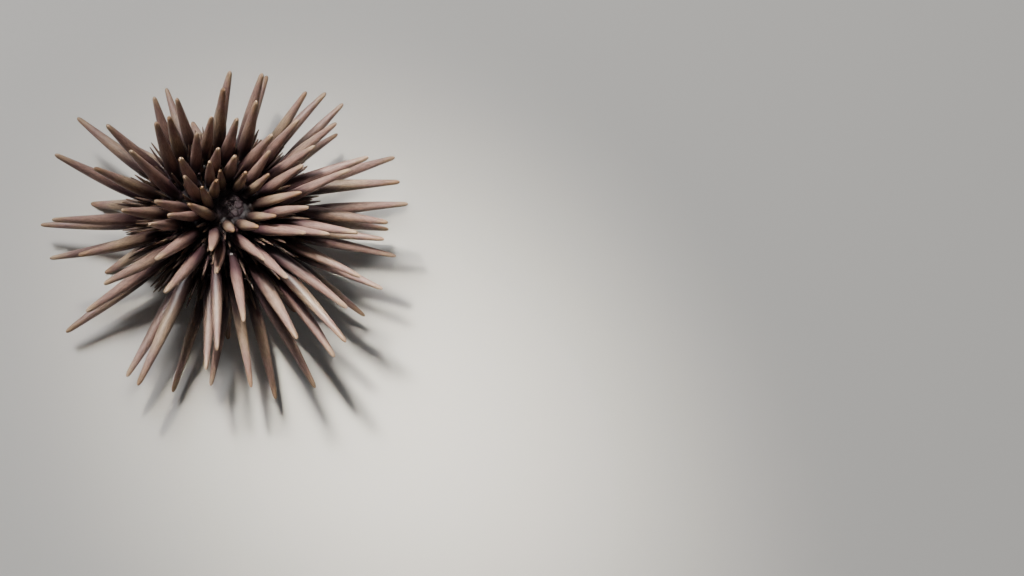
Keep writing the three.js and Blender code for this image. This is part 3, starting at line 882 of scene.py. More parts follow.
def spine_material(name, streak_scale=5.5, bump_mm=0.05, darkness=1.0):
    """Colour by the place along the spine, by the spine's own tone, and by streaks that run lengthwise."""
    material, nodes, links, shader = new_material(name)
    along = attribute_node(nodes, "along").outputs["Fac"]
    tone = attribute_node(nodes, "tone").outputs["Fac"]
    grain = attribute_node(nodes, "grain").outputs["Vector"]
    streaks = noise_node(nodes, links, grain, streak_scale, 4.0, 0.6).outputs["Fac"]
    blotches = noise_node(nodes, links, grain, 0.9, 2.0).outputs["Fac"]
    place = nodes.new("ShaderNodeMath")
    place.operation = "MULTIPLY_ADD"
    place.inputs[1].default_value = BLOTCH_SHARE
    links.new(blotches, place.inputs[0])
    lowered = map_range(nodes, links, along, 0, 1, -BLOTCH_SHARE / 2, 1 - BLOTCH_SHARE / 2)
    links.new(lowered, place.inputs[2])
    rosy, brown = ramp_of(nodes, ROSY_STOPS), ramp_of(nodes, BROWN_STOPS)
    for ramp in (rosy, brown):
        links.new(place.outputs[0], ramp.inputs["Fac"])
    share = map_range(nodes, links, tone, -1, 1, 0.0, 1.0)
    colour = mix_colours(nodes, links, share, brown.outputs["Color"], rosy.outputs["Color"])
    light = map_range(nodes, links, streaks, 0.35, 0.7, 0.62 * darkness, 1.25 * darkness)
    streaky = mix_colours(nodes, links, 1.0, colour, light, "MULTIPLY")
    links.new(streaky, shader.inputs["Base Color"])
    links.new(map_range(nodes, links, streaks, 0.3, 0.7, 0.34, 0.54), shader.inputs["Roughness"])
    shader.inputs["Specular IOR Level"].default_value = 0.5
    bump(nodes, links, streaks, bump_mm * MM, shader)
    return material


primary_finish = spine_material("primary_spine")
small_finish = spine_material("small_spine", streak_scale=3.0, bump_mm=0.02, darkness=0.5)
print("spine materials:", primary_finish.name, small_finish.name)

# %% [markdown]
# ## Primary spines
#
# Seen close, a primary spine has a smooth collar near its root, with a raised ring below it where the muscles
# take hold, then a shaft that swells a little and tapers evenly to a blunt end. Its fine lengthwise ridges
# are real geometry here, because they catch the light along the whole shaft.

# %% Primary spines
SPINE_SIDES = 24
SPINE_RIDGES = 12
RIDGE_DEPTH = 0.035
SPINE_BOW = 0.008
TAPER_POWER = 1.3  # above 1 the shaft stays full for longer
ROOT_RINGS = (  # heights in millimetres, and half-widths as a share of the spine's radius
    (-1.1, 0.55), (-0.1, 0.62), (0.3, 0.66), (0.6, 0.97), (0.85, 1.0), (1.1, 0.82), (1.5, 0.74), (2.1, 0.78),
)
FULL_ROOT_LENGTH = 18.0  # mm; on a shorter spine the root rings are squeezed in the same proportion
SHAFT_SHARES = (0.12, 0.2, 0.3, 0.42, 0.54, 0.66, 0.78, 0.87, 0.93, 0.965, 0.985, 0.996)
TIP_ROUNDING = {0.965: 0.9, 0.985: 0.66, 0.996: 0.36}


def primary_profile(length, radius):
    """Heights and half-widths of every ring, one row for each spine."""
    heights = []
    widths = []
    squeeze = np.minimum(1, length / FULL_ROOT_LENGTH)
    for height, width in ROOT_RINGS:
        heights.append(height * squeeze)
        widths.append(radius * width)
    for share in SHAFT_SHARES:
        if share <= FULLEST:
            shape = NECK + (1 - NECK) * math.sin(share / FULLEST * math.pi / 2)
        else:
            taper = (min(share, BLUNT_START) - FULLEST) / (BLUNT_START - FULLEST)
            shape = 1 - (1 - BLUNT) * taper**TAPER_POWER
        heights.append(length * share)
        widths.append(radius * shape * TIP_ROUNDING.get(share, 1.0))
    return np.stack(heights, axis=1), np.stack(widths, axis=1)


spine_pieces = []
for zone in zones:
    own = [spine for spine in primaries if spine["zone"] == zone["name"]]
    piece = spines_piece(
        "spines_" + zone["name"], own, primary_profile, SPINE_SIDES, strip_patches,
        ridges=SPINE_RIDGES, ridge_depth=RIDGE_DEPTH, bow=SPINE_BOW,
    )
    piece.data.materials.append(primary_finish)
    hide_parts(zone["name"])
    spine_pieces.append(piece)
print("primary spine faces:", sum(len(piece.data.polygons) for piece in spine_pieces))

# %% [markdown]
# ## Small spines as pieces
#
# The small spines need far fewer points. A short cone with a rounded end and six or eight sides is enough,
# because each one is only a few pixels wide in the picture. They share the large spines' colours. Their
# profile is a short list of rings, and so are those of the tube feet and gills later, so one function turns
# any such list into a profile.

# %% Small spines
SMALL_ROOT = ((-0.6, 0.7), (0.0, 0.8))  # in millimetres along, the first one under the skin
SMALL_SHAFT = ((0.12, 1.0), (0.45, 0.86), (0.75, 0.6), (0.95, 0.34))  # in shares of the length
SECONDARY_SIDES = 8
MILIARY_SIDES = 6


def profile_of(shaft_rings, root_rings=()):
    """A profile of rings at fixed heights and then at shares of the length, each with its half-width."""

    def profile(length, radius):
        heights = [np.full_like(length, height) for height, _ in root_rings]
        heights += [length * share for share, _ in shaft_rings]
        widths = [radius * width for _, width in root_rings + shaft_rings]
        return np.stack(heights, axis=1), np.stack(widths, axis=1)

    return profile


small_profile = profile_of(SMALL_SHAFT, SMALL_ROOT)
secondary_piece = spines_piece(
    "secondary_spines", secondaries + tertiaries, small_profile, SECONDARY_SIDES, root_patches, bow=0.01
)
secondary_piece.data.materials.append(small_finish)

miliary_piece = spines_piece("miliary_spines", miliaries, small_profile, MILIARY_SIDES, root_patches)
miliary_piece.data.materials.append(small_finish)
for piece in (secondary_piece, miliary_piece):
    print(piece.name, len(piece.data.polygons), "faces")

# %% [markdown]
# ## The skin
#
# One skin covers the whole shell, so no seam shows between the zones of the frame. It is a grid of points
# round the shell, and each tubercle is raised out of it: a low cone with a shallow ring round it, where the
# muscles of a spine sit, and a small knob on top, on which the spine turns. Grooves part the limy plates.
# Round the mouth the grid runs on as soft skin that sags to the lip.

# %% Skin sizes
SKIN_COLUMNS = 480
SHELL_ROWS = 170
MOUTH_ROWS = 22
SKIN_START = 0.12  # mm from the apex, where the grid's first row is
SKIN_DEPTH = 0.06
MOUTH_PROFILE = (  # radius and height above the belly, from the edge of the mouth skin in to the lip and up
    (7.0, -0.02), (6.75, 0.42), (6.0, 0.55), (4.8, 0.3), (3.8, -0.05), (3.3, -0.15), (2.8, 0.0), (2.55, 0.5),
    (2.5, 1.6),
)
SOFTENS = 0.6  # how fast the shell turns into soft skin, for each step of the profile
FOLDS, FOLD_DEPTH, FOLD_WAVES = 40, 0.09, 7
FOLDS_START = 0.1  # the softness from which the skin is folded

skin_azimuth = 2 * np.pi * np.arange(SKIN_COLUMNS) / SKIN_COLUMNS


def skin_grid():
    """Points of the skin row by row, the softness of each row, and how far from the apex the shell's lie."""
    arcs = np.linspace(SKIN_START, mouth_edge, SHELL_ROWS)
    polar = np.interp(arcs, meridian_arc, meridian_polar)
    shell = shell_points(polar[:, None], skin_azimuth[None, :])
    shell = shell - shell_normals(shell) * SKIN_DEPTH
    edge = shell[-1]
    radii, heights = np.array(MOUTH_PROFILE).T
    steps = np.linspace(0, len(radii) - 1, MOUTH_ROWS + 1)[1:]
    rows = []
    for step in steps:
        radius = np.interp(step, np.arange(len(radii)), radii)
        height = BELLY + np.interp(step, np.arange(len(radii)), heights)
        flat = [radius * np.cos(skin_azimuth), radius * np.sin(skin_azimuth), np.full(SKIN_COLUMNS, height)]
        share = min(1.0, step)
        rows.append(edge * (1 - share) + np.stack(flat, axis=-1) * share)
    softness = np.append(np.zeros(SHELL_ROWS), np.minimum(1, steps * SOFTENS))
    return np.concatenate([shell, np.stack(rows)]), softness, arcs


grid, softness, shell_arcs = skin_grid()
print("skin grid:", grid.shape[0], "rows of", grid.shape[1], "points")

# %% [markdown]
# ## Tubercles and grooves
#
# What makes a bare urchin shell so handsome is its relief. It is worked out as one number for each point of
# the skin, the lift, and only at the end are the points moved along their normals. The tubercles are added
# spine by spine, the small ones first, so that the large ones keep their full height. The grooves follow the
# plates: one zigzag down the middle of a zone, one line along its edges, and short ones across.

# %% Tubercles and grooves
BOSS_HEIGHT = 0.75
KNOB_HEIGHT = 0.25
RING_DEPTH = 0.16
TUBERCLE_REACH = 2.1  # this and the next five are shares of the spine's radius, times the scale
BOSS_FOOT = 1.35
BOSS_SLOPE = 0.85
RING_AT = 1.65
RING_WIDTH = 0.22
KNOB_SHARE = 0.5
MILIARY_SCALE = 1.7  # tubercles of small spines are large for their spine
SECONDARY_SCALE = 1.15
SUTURE_DEPTH = 0.12
SUTURE_WIDTH = 0.2
ZIGZAG = 3.2  # degrees
RELIEF_FADES = 2  # how fast the relief goes where the skin turns soft


def bell(distance, width):
    """1 at no distance, falling off to both sides, and nearly 0 at twice the width."""
    return np.exp(-((distance / width) ** 2))


def raise_tubercles(points, lift, spines, scale):
    """Adds each spine's tubercle to the lift of the points near it."""
    for spine in spines:
        base = np.array(spine["base"])
        size = spine["radius"] * scale
        near = np.nonzero(np.abs(points - base).max(axis=1) < TUBERCLE_REACH * size)[0]
        share = np.linalg.norm(points[near] - base, axis=1) / size
        slope = np.clip(BOSS_FOOT - share, 0, BOSS_SLOPE) / BOSS_SLOPE
        boss = BOSS_HEIGHT * size / SPINE_RADIUS * slope
        knob = KNOB_HEIGHT * scale * np.clip(1 - (share / KNOB_SHARE) ** 2, 0, 1)
        ring = -RING_DEPTH * scale * bell(share - RING_AT, RING_WIDTH)
        lift[near] = np.maximum(lift[near], 0) + boss + knob + np.where(lift[near] > 0, 0, ring)


def sutures(azimuth, arcs):
    """How deep in a groove between plates each point is, from 0 to 1."""
    degrees = np.degrees(azimuth)[None, :]
    row = arcs[:, None]
    radius = np.interp(row, meridian_arc, meridian_radius)
    groove = np.zeros((len(arcs), len(azimuth)))
    for zone in zones:
        off = (degrees - zone["middle"] + 180) % 360 - 180
        inside = np.abs(off) <= zone["half"]
        zigzag = ZIGZAG * (2 * np.abs((row / ROW_STEP) % 1 - 0.5) - 0.5)
        down = np.radians(off - zigzag) * radius
        edge = np.radians(zone["half"] - np.abs(off)) * radius
        phase = (row - apical_edge - FIRST_ROW) / ROW_STEP + np.where(off > 0, 0.0, 0.5)
        across = np.abs(phase % 1 - 0.5) * ROW_STEP
        for distance in (down, edge, across):
            groove = np.where(inside, np.maximum(groove, bell(distance, SUTURE_WIDTH)), groove)
    return groove


def skin_lift(points):
    """How far each point of the grid is moved outwards."""
    lift = np.zeros(len(points))
    lift[: SHELL_ROWS * SKIN_COLUMNS] -= (SUTURE_DEPTH * sutures(skin_azimuth, shell_arcs)).ravel()
    raise_tubercles(points, lift, miliaries, MILIARY_SCALE)
    raise_tubercles(points, lift, secondaries + tertiaries, SECONDARY_SCALE)
    raise_tubercles(points, lift, primaries, 1.0)
    return lift * np.repeat(1 - np.clip(softness * RELIEF_FADES, 0, 1), SKIN_COLUMNS)


lift = skin_lift(grid.reshape(-1, 3))
print("relief of the shell:", round(lift.min(), 2), "to", round(lift.max(), 2), "mm")

# %% [markdown]
# ## The skin as a mesh
#
# The grid's rows are rings, so its faces come from the same helper as a spine's, turned over because the rows
# run downwards. One point closes the grid at the apex and one inside the mouth. Flattened from above, the
# rings make a round map: the apex in its middle and the mouth along its edge.

# %% Skin
MAP_REACH = 0.49
MOUTH_ROOF = 1.6  # mm above the belly


def skin_faces(rows):
    """Faces of the grid, and where each of their corners lies on the map."""
    faces = []
    uv = []
    for row in range(rows - 1):
        for column in range(SKIN_COLUMNS):
            faces.append(turned_over(between_rings(row, column, SKIN_COLUMNS)))
            for step, turn in turned_over(ROUND_A_FACE):
                reach = MAP_REACH * (row + step) / (rows - 1)
                angle = 2 * math.pi * (column + turn) / SKIN_COLUMNS
                uv.append((0.5 + reach * math.cos(angle), 0.5 + reach * math.sin(angle)))
    last = (rows - 1) * SKIN_COLUMNS
    top, roof = rows * SKIN_COLUMNS, rows * SKIN_COLUMNS + 1
    for column in range(SKIN_COLUMNS):
        after = (column + 1) % SKIN_COLUMNS
        faces.append([top, column, after])
        faces.append([roof, last + after, last + column])
        uv.extend([(0.5, 0.5)] * 3 + [(0.5, 0.5 + MAP_REACH)] * 3)
    return faces, uv


def make_skin():
    points = grid.reshape(-1, 3)
    waves = np.sin(FOLD_WAVES * softness) * (softness > FOLDS_START)
    folds = FOLD_DEPTH * np.sin(FOLDS * skin_azimuth)[None, :] * waves[:, None]
    points = points + shell_normals(points) * (lift + folds.ravel())[:, None]
    ends = [[0, 0, APEX - SKIN_DEPTH], [0, 0, BELLY + MOUTH_ROOF]]
    faces, uv = skin_faces(len(grid))
    mesh = bpy.data.meshes.new("shell_skin")
    mesh.from_pydata(in_metres(np.concatenate([points, ends])), [], faces)
    store_map(mesh, uv)
    store(mesh, "soft", "FLOAT", np.append(np.repeat(softness, SKIN_COLUMNS), [0, 1]))
    store(mesh, "lift", "FLOAT", np.append(lift, [0, 0]))
    return add_object("shell_skin", mesh)


skin = make_skin()
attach(skin, "root")
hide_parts(*[zone["name"] for zone in zones], "mouth_skin")
print("skin faces:", len(skin.data.polygons))

# %% [markdown]
# ## Colour of the skin
#
# The shell's skin is nearly black with a violet cast, and a little lighter on the bare knobs. The two numbers
# stored with the mesh place the colours: "lift" lightens the knobs and "soft" turns the skin round the mouth
# to a dull flesh red. A fine speckle darkens the colour and roughens the surface at the same places, so the
# skin looks damp in spots and not varnished.

# %% Skin material
SHELL_DARK = srgb(12, 8, 10)
SHELL_VIOLET = srgb(34, 21, 28)
KNOB_PALE = srgb(46, 31, 35)
MOUTH_FLESH = srgb(88, 52, 56)
SPECKLE_SCALE = 900
CLOUD_SCALE = 160


def skin_material():
    material, nodes, links, shader = new_material("shell_skin")
    position = object_place(nodes)
    speckle = noise_node(nodes, links, position, SPECKLE_SCALE, 4.0, 0.6).outputs["Fac"]
    cloud = noise_node(nodes, links, position, CLOUD_SCALE, 2.0).outputs["Fac"]
    lift_here = attribute_node(nodes, "lift").outputs["Fac"]
    soft = attribute_node(nodes, "soft").outputs["Fac"]
    violet_share = map_range(nodes, links, cloud, 0.35, 0.65, 0, 1)
    base = mix_colours(nodes, links, violet_share, SHELL_DARK, SHELL_VIOLET)
    knob_share = map_range(nodes, links, lift_here, 0.25, 0.9, 0, 0.8)
    knobs = mix_colours(nodes, links, knob_share, base, KNOB_PALE)
    fleshy = mix_colours(nodes, links, soft, knobs, MOUTH_FLESH)
    shade = map_range(nodes, links, speckle, 0.3, 0.7, 0.7, 1.25)
    links.new(mix_colours(nodes, links, 1.0, fleshy, shade, "MULTIPLY"), shader.inputs["Base Color"])
    links.new(map_range(nodes, links, speckle, 0.3, 0.7, 0.5, 0.75), shader.inputs["Roughness"])
    shader.inputs["Specular IOR Level"].default_value = 0.3
    bump(nodes, links, speckle, 0.05 * MM, shader)
    return material


skin.data.materials.append(skin_material())
print("skin material:", skin.data.materials[0].name)

# %% [markdown]
# ## The plates on top
#
# At the top of the shell a rosette of small plates closes it: five large genital plates, one of them the
# sieve plate that lets water in, five eye plates in the corners between, and a soft field of tiny plates
# round the vent. Every point of a fine round grid asks which plate's seed is nearest and which comes second.
# Where the two are equally far there is a groove, and in the middle of a plate it bulges.

# %% Plates on top
DISC_COLUMNS = 160
DISC_ROWS = 64
DISC_REACH = APICAL_RADIUS + 0.35
DISC_SEAT = 0.12  # how deep the disc's edge is sunk into the skin
DISC_RISE = 0.3
SEAT_WIDTH = 0.8
GENITAL_RING = 1.75
GENITAL_WEIGHT = 0.3
SIEVE_RING = 1.85
SIEVE_WEIGHT = 0.42
EYE_RING = 2.75
FIELD_RINGS = ((7, 0.85), (5, 0.5))  # tiny plates round the vent: how many, and how far out
FIELD_WEIGHT = -0.1
VENT_RADIUS = 0.42
VENT_DEPTH = 0.55
RIM_HEIGHT = 0.1
RIM_AT = 1.35  # of the vent's radius
RIM_WIDTH = 0.12
PLATE_BULGE = 0.22
BULGE_EDGE = 0.45
PLATE_GROOVE = 0.16
GROOVE_WIDTH = 0.11
FOR_TURN, FOR_RING = 21, 22
TURN_VARIES = 0.3  # radians
RING_VARIES = 0.12


def seed_of(turn, ring, weight):
    return ring * math.cos(turn), ring * math.sin(turn), weight


def plate_seeds():
    """Seeds of the plates as [x, y, weight], a larger weight making a larger plate."""
    seeds = []
    for sector in range(SECTORS):
        turn = math.radians(SECTOR_TURN + sector * 360 / SECTORS)
        ring, weight = (GENITAL_RING, GENITAL_WEIGHT) if sector else (SIEVE_RING, SIEVE_WEIGHT)
        seeds.append(seed_of(turn, ring, weight))
        seeds.append(seed_of(turn + math.pi / SECTORS, EYE_RING, 0.0))
    for count, ring in FIELD_RINGS:
        for number in range(count):
            turn = 2 * math.pi * number / count + TURN_VARIES * stray(number + count, FOR_TURN)
            distance = ring * (1 + RING_VARIES * stray(number + count, FOR_RING))
            seeds.append(seed_of(turn, distance, FIELD_WEIGHT))
    return np.array(seeds)


def disc_heights(x, y):
    """Heights of the plates over the apex, and how deep in a groove each point is."""
    radius = np.hypot(x, y)
    seeds = plate_seeds()
    away = np.hypot(x[..., None] - seeds[:, 0], y[..., None] - seeds[:, 1]) - seeds[:, 2]
    order = np.sort(away, axis=-1)
    edge = order[..., 1] - order[..., 0]
    groove = bell(edge, GROOVE_WIDTH)
    bulge = 1 - bell(edge, BULGE_EDGE)
    outwards = radius / (SHELL_LENGTH / 2)
    crown = CROWN_RISE * ((1 - outwards**CROWN_POWER) ** (1 / CROWN_POWER) - 1)
    seat = np.clip((DISC_REACH - radius) / SEAT_WIDTH, 0, 1)
    height = crown - SKIN_DEPTH - DISC_SEAT + DISC_RISE * seat * (2 - seat)
    height += (PLATE_BULGE * bulge - PLATE_GROOVE * groove) * seat
    vent = np.exp(-((radius / VENT_RADIUS) ** 4))
    rim = bell(radius - RIM_AT * VENT_RADIUS, RIM_WIDTH)
    return height - VENT_DEPTH * vent + RIM_HEIGHT * rim, np.maximum(groove, vent)


def sheet_faces(rows, columns):
    """Faces of a round sheet of rings with one point in the middle, which comes last."""
    places = [(row, column) for row in range(rows - 1) for column in range(columns)]
    faces = [turned_over(between_rings(row, column, columns)) for row, column in places]
    middle = rows * columns
    return faces + [[middle, column, (column + 1) % columns] for column in range(columns)]


def make_plates():
    radius = np.linspace(0, DISC_REACH, DISC_ROWS + 1)[1:]
    angle = 2 * np.pi * np.arange(DISC_COLUMNS) / DISC_COLUMNS
    x = np.append((radius[:, None] * np.cos(angle)).ravel(), 0.0)
    y = np.append((radius[:, None] * np.sin(angle)).ravel(), 0.0)
    height, groove = disc_heights(x, y)
    points = np.stack([x, y * SHELL_WIDTH / SHELL_LENGTH, APEX + height], axis=1)
    mesh = bpy.data.meshes.new("apical_plates")
    mesh.from_pydata(in_metres(points), [], sheet_faces(DISC_ROWS, DISC_COLUMNS))
    flat = np.stack([x, y], axis=1) * MAP_REACH / DISC_REACH + 0.5
    corners = np.zeros(len(mesh.loops), np.int32)
    mesh.loops.foreach_get("vertex_index", corners)
    store_map(mesh, flat[corners])
    store(mesh, "groove", "FLOAT", groove)
    return add_object("apical_plates", mesh)


PLATE_DARK = srgb(30, 20, 24)
PLATE_LIGHT = srgb(58, 40, 46)
PORE_SCALE = 2600


def plates_material():
    material, nodes, links, shader = new_material("apical_plates")
    groove = attribute_node(nodes, "groove").outputs["Fac"]
    pores = noise_node(nodes, links, object_place(nodes), PORE_SCALE, 3.0, 0.6).outputs["Fac"]
    light_share = map_range(nodes, links, pores, 0.35, 0.65, 0, 1)
    speckled = mix_colours(nodes, links, light_share, PLATE_DARK, PLATE_LIGHT)
    links.new(mix_colours(nodes, links, groove, speckled, SHELL_DARK), shader.inputs["Base Color"])
    shader.inputs["Roughness"].default_value = 0.58
    bump(nodes, links, pores, 0.06 * MM, shader)
    return material


plates = make_plates()
plates.data.materials.append(plates_material())
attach(plates, "root")
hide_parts("apical_disc")
print("plate faces:", len(plates.data.polygons))

# %% [markdown]
# ## Teeth
#
# Five teeth close the mouth like the jaws of a grab. Each is a curved strip of limestone with a keel behind
# it, widest where it leaves the jaw and worn to a chisel at its point. Rings of points are set along a curve
# that runs down and inwards, and each ring is a flat oval with the keel added on its inner side.

# %% Teeth
TOOTH_RINGS = 16
TOOTH_SIDES = 20
TOOTH_TOP = BELLY + 1.7
TOOTH_BOTTOM = BELLY - 1.55
TOOTH_OUT = 1.75
TOOTH_MEETS = 0.2  # mm from the mouth's middle, where the points meet
TOOTH_HALF_WIDTH = 0.92
TOOTH_NARROWS = 0.72
TOOTH_HALF_DEPTH = 0.3
TOOTH_THINS = 0.45
KEEL_DEPTH = 0.35
KEEL_POWER = 6  # the larger, the sharper the keel
CURVE_POWER = 1.6  # above 1 a tooth leans in mostly near its point
WORN_POWER = 1.8  # and narrows mostly there
TOOTH_STRIP = 0.9  # of the room that each tooth has on the map


def tooth_points(turn):
    """Points of one tooth, and how far along it each of them is."""
    share = np.linspace(0, 1, TOOTH_RINGS)[:, None]
    angle = 2 * np.pi * np.arange(TOOTH_SIDES)[None, :] / TOOTH_SIDES
    out = TOOTH_OUT * (1 - share**CURVE_POWER) + TOOTH_MEETS
    height = TOOTH_TOP + (TOOTH_BOTTOM - TOOTH_TOP) * share
    keel = KEEL_DEPTH * np.clip(-np.cos(angle), 0, 1) ** KEEL_POWER * (1 - share)
    forward = out + TOOTH_HALF_DEPTH * (1 - TOOTH_THINS * share) * np.cos(angle) - keel
    sideways = TOOTH_HALF_WIDTH * (1 - TOOTH_NARROWS * share**WORN_POWER) * np.sin(angle)
    x = forward * math.cos(turn) - sideways * math.sin(turn)
    y = forward * math.sin(turn) + sideways * math.cos(turn)
    points = np.stack([x, y, np.broadcast_to(height, x.shape)], axis=-1).reshape(-1, 3)
    ends = [points[:TOOTH_SIDES].mean(axis=0), points[-TOOTH_SIDES:].mean(axis=0)]
    return np.concatenate([points, ends]), np.append(np.repeat(share[:, 0], TOOTH_SIDES), [0.0, 1.0])


def make_teeth():
    faces, corners = tube_faces(TOOTH_RINGS, TOOTH_SIDES)
    all_points, shares, all_faces, uv = [], [], [], []
    for sector in range(SECTORS):
        points, share = tooth_points(math.radians(SECTOR_TURN + sector * 360 / SECTORS))
        all_faces.extend([[corner + len(points) * sector for corner in reversed(face)] for face in faces])
        all_points.append(points)
        shares.append(share)
        on_strip = [corner for face in corners for corner in reversed(face)]
        uv.extend(((sector + TOOTH_STRIP * u) / SECTORS, v) for u, v in on_strip)
    mesh = bpy.data.meshes.new("teeth_dressed")
    mesh.from_pydata(in_metres(np.concatenate(all_points)), [], all_faces)
    store_map(mesh, (1 - STRIP_HEIGHT) / 2 + STRIP_HEIGHT * np.array(uv))
    store(mesh, "along", "FLOAT", np.concatenate(shares))
    return add_object("teeth_dressed", mesh)


TOOTH_STOPS = [(0.0, srgb(150, 126, 98)), (0.5, srgb(206, 192, 164)), (1.0, srgb(232, 226, 210))]
STAIN_SCALE = 900


def teeth_material():
    material, nodes, links, shader = new_material("tooth")
    along = attribute_node(nodes, "along").outputs["Fac"]
    stain = noise_node(nodes, links, object_place(nodes), STAIN_SCALE, 3.0).outputs["Fac"]
    ramp = ramp_of(nodes, TOOTH_STOPS)
    links.new(along, ramp.inputs["Fac"])
    shade = map_range(nodes, links, stain, 0.3, 0.7, 0.78, 1.05)
    stained = mix_colours(nodes, links, 1.0, ramp.outputs["Color"], shade, "MULTIPLY")
    links.new(stained, shader.inputs["Base Color"])
    shader.inputs["Roughness"].default_value = 0.32
    bump(nodes, links, stain, 0.03 * MM, shader)
    return material


teeth = make_teeth()
teeth.data.materials.append(teeth_material())
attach(teeth, "root")
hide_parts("teeth")
print("tooth faces:", len(teeth.data.polygons))

# %% [markdown]
# ## Tube feet
#
# Thin tube feet with a small disc at the end come out along both edges of each narrow zone. They are drawn in
# on a resting animal, so they are short here, and ten thick ones stand round the mouth. The spine function
# makes them too: only the profile differs, which ends in a disc. A foot that would run into a large spine is
# left out.

# %% Tube feet
FOOT_STEP = 2.3
FOOT_PLACE = 0.8  # share of a narrow zone's half-width
FEET_FROM_DISC = 2.0
FEET_TO_MOUTH = 0.8
FOOT_LENGTH = 3.6
FOOT_RADIUS = 0.2
FOOT_LENGTH_VARIES = 0.35
FOOT_RADIUS_VARIES = 0.1
FOOT_SCATTER = 0.3
MOUTH_FOOT_RING = 4.6
MOUTH_FOOT_TURN = 13  # degrees to either side of a narrow zone's middle
MOUTH_FOOT_ROOT = 0.25
MOUTH_FOOT_LEAN = 0.3
MOUTH_FOOT_LENGTH = 1.7
MOUTH_FOOT_RADIUS = 0.36
FIRST_FOOT = 14000  # the first of the numbers that the stray function gets for them
FOOT_RINGS = (
    (-0.08, 1.15), (0.05, 0.95), (0.35, 0.8), (0.7, 0.75),
    (0.86, 0.9), (0.91, 1.9), (0.97, 2.0), (0.995, 1.4),
)


def foot_at(zone, side, arc, item):
    """One tube foot of a narrow zone, at that distance from the apex."""
    azimuth = math.radians(zone["middle"] + side * FOOT_PLACE * zone["half"])
    base = Vector(shell_points(polar_at(arc), azimuth))
    return {
        "base": base,
        "direction": (rest_direction(base, item) + strayed(item) * FOOT_SCATTER).normalized(),
        "length": FOOT_LENGTH * (1 + FOOT_LENGTH_VARIES * stray(item, FOR_LENGTH)),
        "radius": FOOT_RADIUS * (1 + FOOT_RADIUS_VARIES * stray(item, FOR_RADIUS)),
    }


def mouth_foot(sector, side):
    """One of the ten thick feet that stand in pairs round the mouth."""
    turn = math.radians(SECTOR_TURN + 180 / SECTORS + sector * 360 / SECTORS + side * MOUTH_FOOT_TURN)
    outward = Vector((math.cos(turn), math.sin(turn), 0))
    return {
        "base": outward * MOUTH_FOOT_RING + Vector((0, 0, BELLY + MOUTH_FOOT_ROOT)),
        "direction": (outward * MOUTH_FOOT_LEAN + Vector((0, 0, -1))).normalized(),
        "length": MOUTH_FOOT_LENGTH,
        "radius": MOUTH_FOOT_RADIUS,
    }


def tube_feet():
    feet = []
    narrow_zones = [zone for zone in zones if zone["half"] == NARROW_HALF]
    for zone, side in ((zone, side) for zone in narrow_zones for side in (-1, 1)):
        for arc in np.arange(apical_edge + FEET_FROM_DISC, mouth_edge - FEET_TO_MOUTH, FOOT_STEP):
            foot = foot_at(zone, side, arc, FIRST_FOOT + len(feet))
            if misses_primaries(foot, 0.0):
                feet.append(foot)
    return feet + [mouth_foot(sector, side) for sector in range(SECTORS) for side in (-1, 1)]


def flesh_material(name, dark, light):
    """Wet flesh that lets a little light in, darker at its root."""
    material, nodes, links, shader = new_material(name)
    along = attribute_node(nodes, "along").outputs["Fac"]
    links.new(mix_colours(nodes, links, along, dark, light), shader.inputs["Base Color"])
    shader.inputs["Roughness"].default_value = 0.38
    shader.inputs["Subsurface Weight"].default_value = 0.15
    shader.inputs["Subsurface Scale"].default_value = 0.4 * MM
    return material


FOOT_SIDES = 10
feet_piece = spines_piece(
    "tube_feet", tube_feet(), profile_of(FOOT_RINGS), FOOT_SIDES, root_patches, bow=0.06
)
feet_piece.data.materials.append(flesh_material("tube_foot", srgb(30, 17, 20), srgb(58, 36, 38)))
print(feet_piece.name, len(feet_piece.data.polygons), "faces")

# %% [markdown]
# ## Gills
#
# Ten bushy gills grow at the edge of the mouth skin, in the corners of the wide zones. Each is a tuft of
# short, blunt fingers that start close together and spread, so a root and a scatter are all that a tuft
# needs. The fingers come from the spine function too, with a profile that ends in a round knob.

# %% Gills
GILL_FINGERS = 9
GILL_TURN = 15  # degrees to either side of a wide zone's middle
GILL_INSET = 0.5
GILL_ROOT = 0.35
GILL_LENGTH = 1.9
GILL_RADIUS = 0.26
GILL_LENGTH_VARIES = 0.25
GILL_RADIUS_VARIES = 0.2
GILL_SIDES = 10
ROOT_SPREAD = 0.35  # how far apart the roots of one tuft lie
TUFT_SPREAD = 0.75  # how far apart its tips point, beside the next two shares
TUFT_OUTWARD = 0.25
TUFT_DOWN = 0.8
TUFT_FLATTENED = 0.4  # the scatter's height, as a share of its width
FIRST_FINGER = 16000
FINGER_RINGS = ((-0.2, 0.8), (0.1, 0.9), (0.4, 1.0), (0.7, 1.05), (0.88, 0.9), (0.97, 0.5))


def gill_finger(outward, item):
    """One finger of the tuft in that direction from the mouth."""
    root = outward * (MOUTH_RADIUS - GILL_INSET) + Vector((0, 0, BELLY + GILL_ROOT))
    spread = strayed(item)
    spread.z *= TUFT_FLATTENED
    direction = spread * TUFT_SPREAD + outward * TUFT_OUTWARD - Vector((0, 0, TUFT_DOWN))
    return {
        "base": root + spread * ROOT_SPREAD,
        "direction": direction.normalized(),
        "length": GILL_LENGTH * (1 + GILL_LENGTH_VARIES * stray(item, FOR_LENGTH)),
        "radius": GILL_RADIUS * (1 + GILL_RADIUS_VARIES * stray(item, FOR_RADIUS)),
    }


fingers = []
for sector in range(SECTORS):
    for side in (-1, 1):
        turn = math.radians(SECTOR_TURN + sector * 360 / SECTORS + side * GILL_TURN)
        outward = Vector((math.cos(turn), math.sin(turn), 0))
        for _ in range(GILL_FINGERS):
            fingers.append(gill_finger(outward, FIRST_FINGER + len(fingers)))

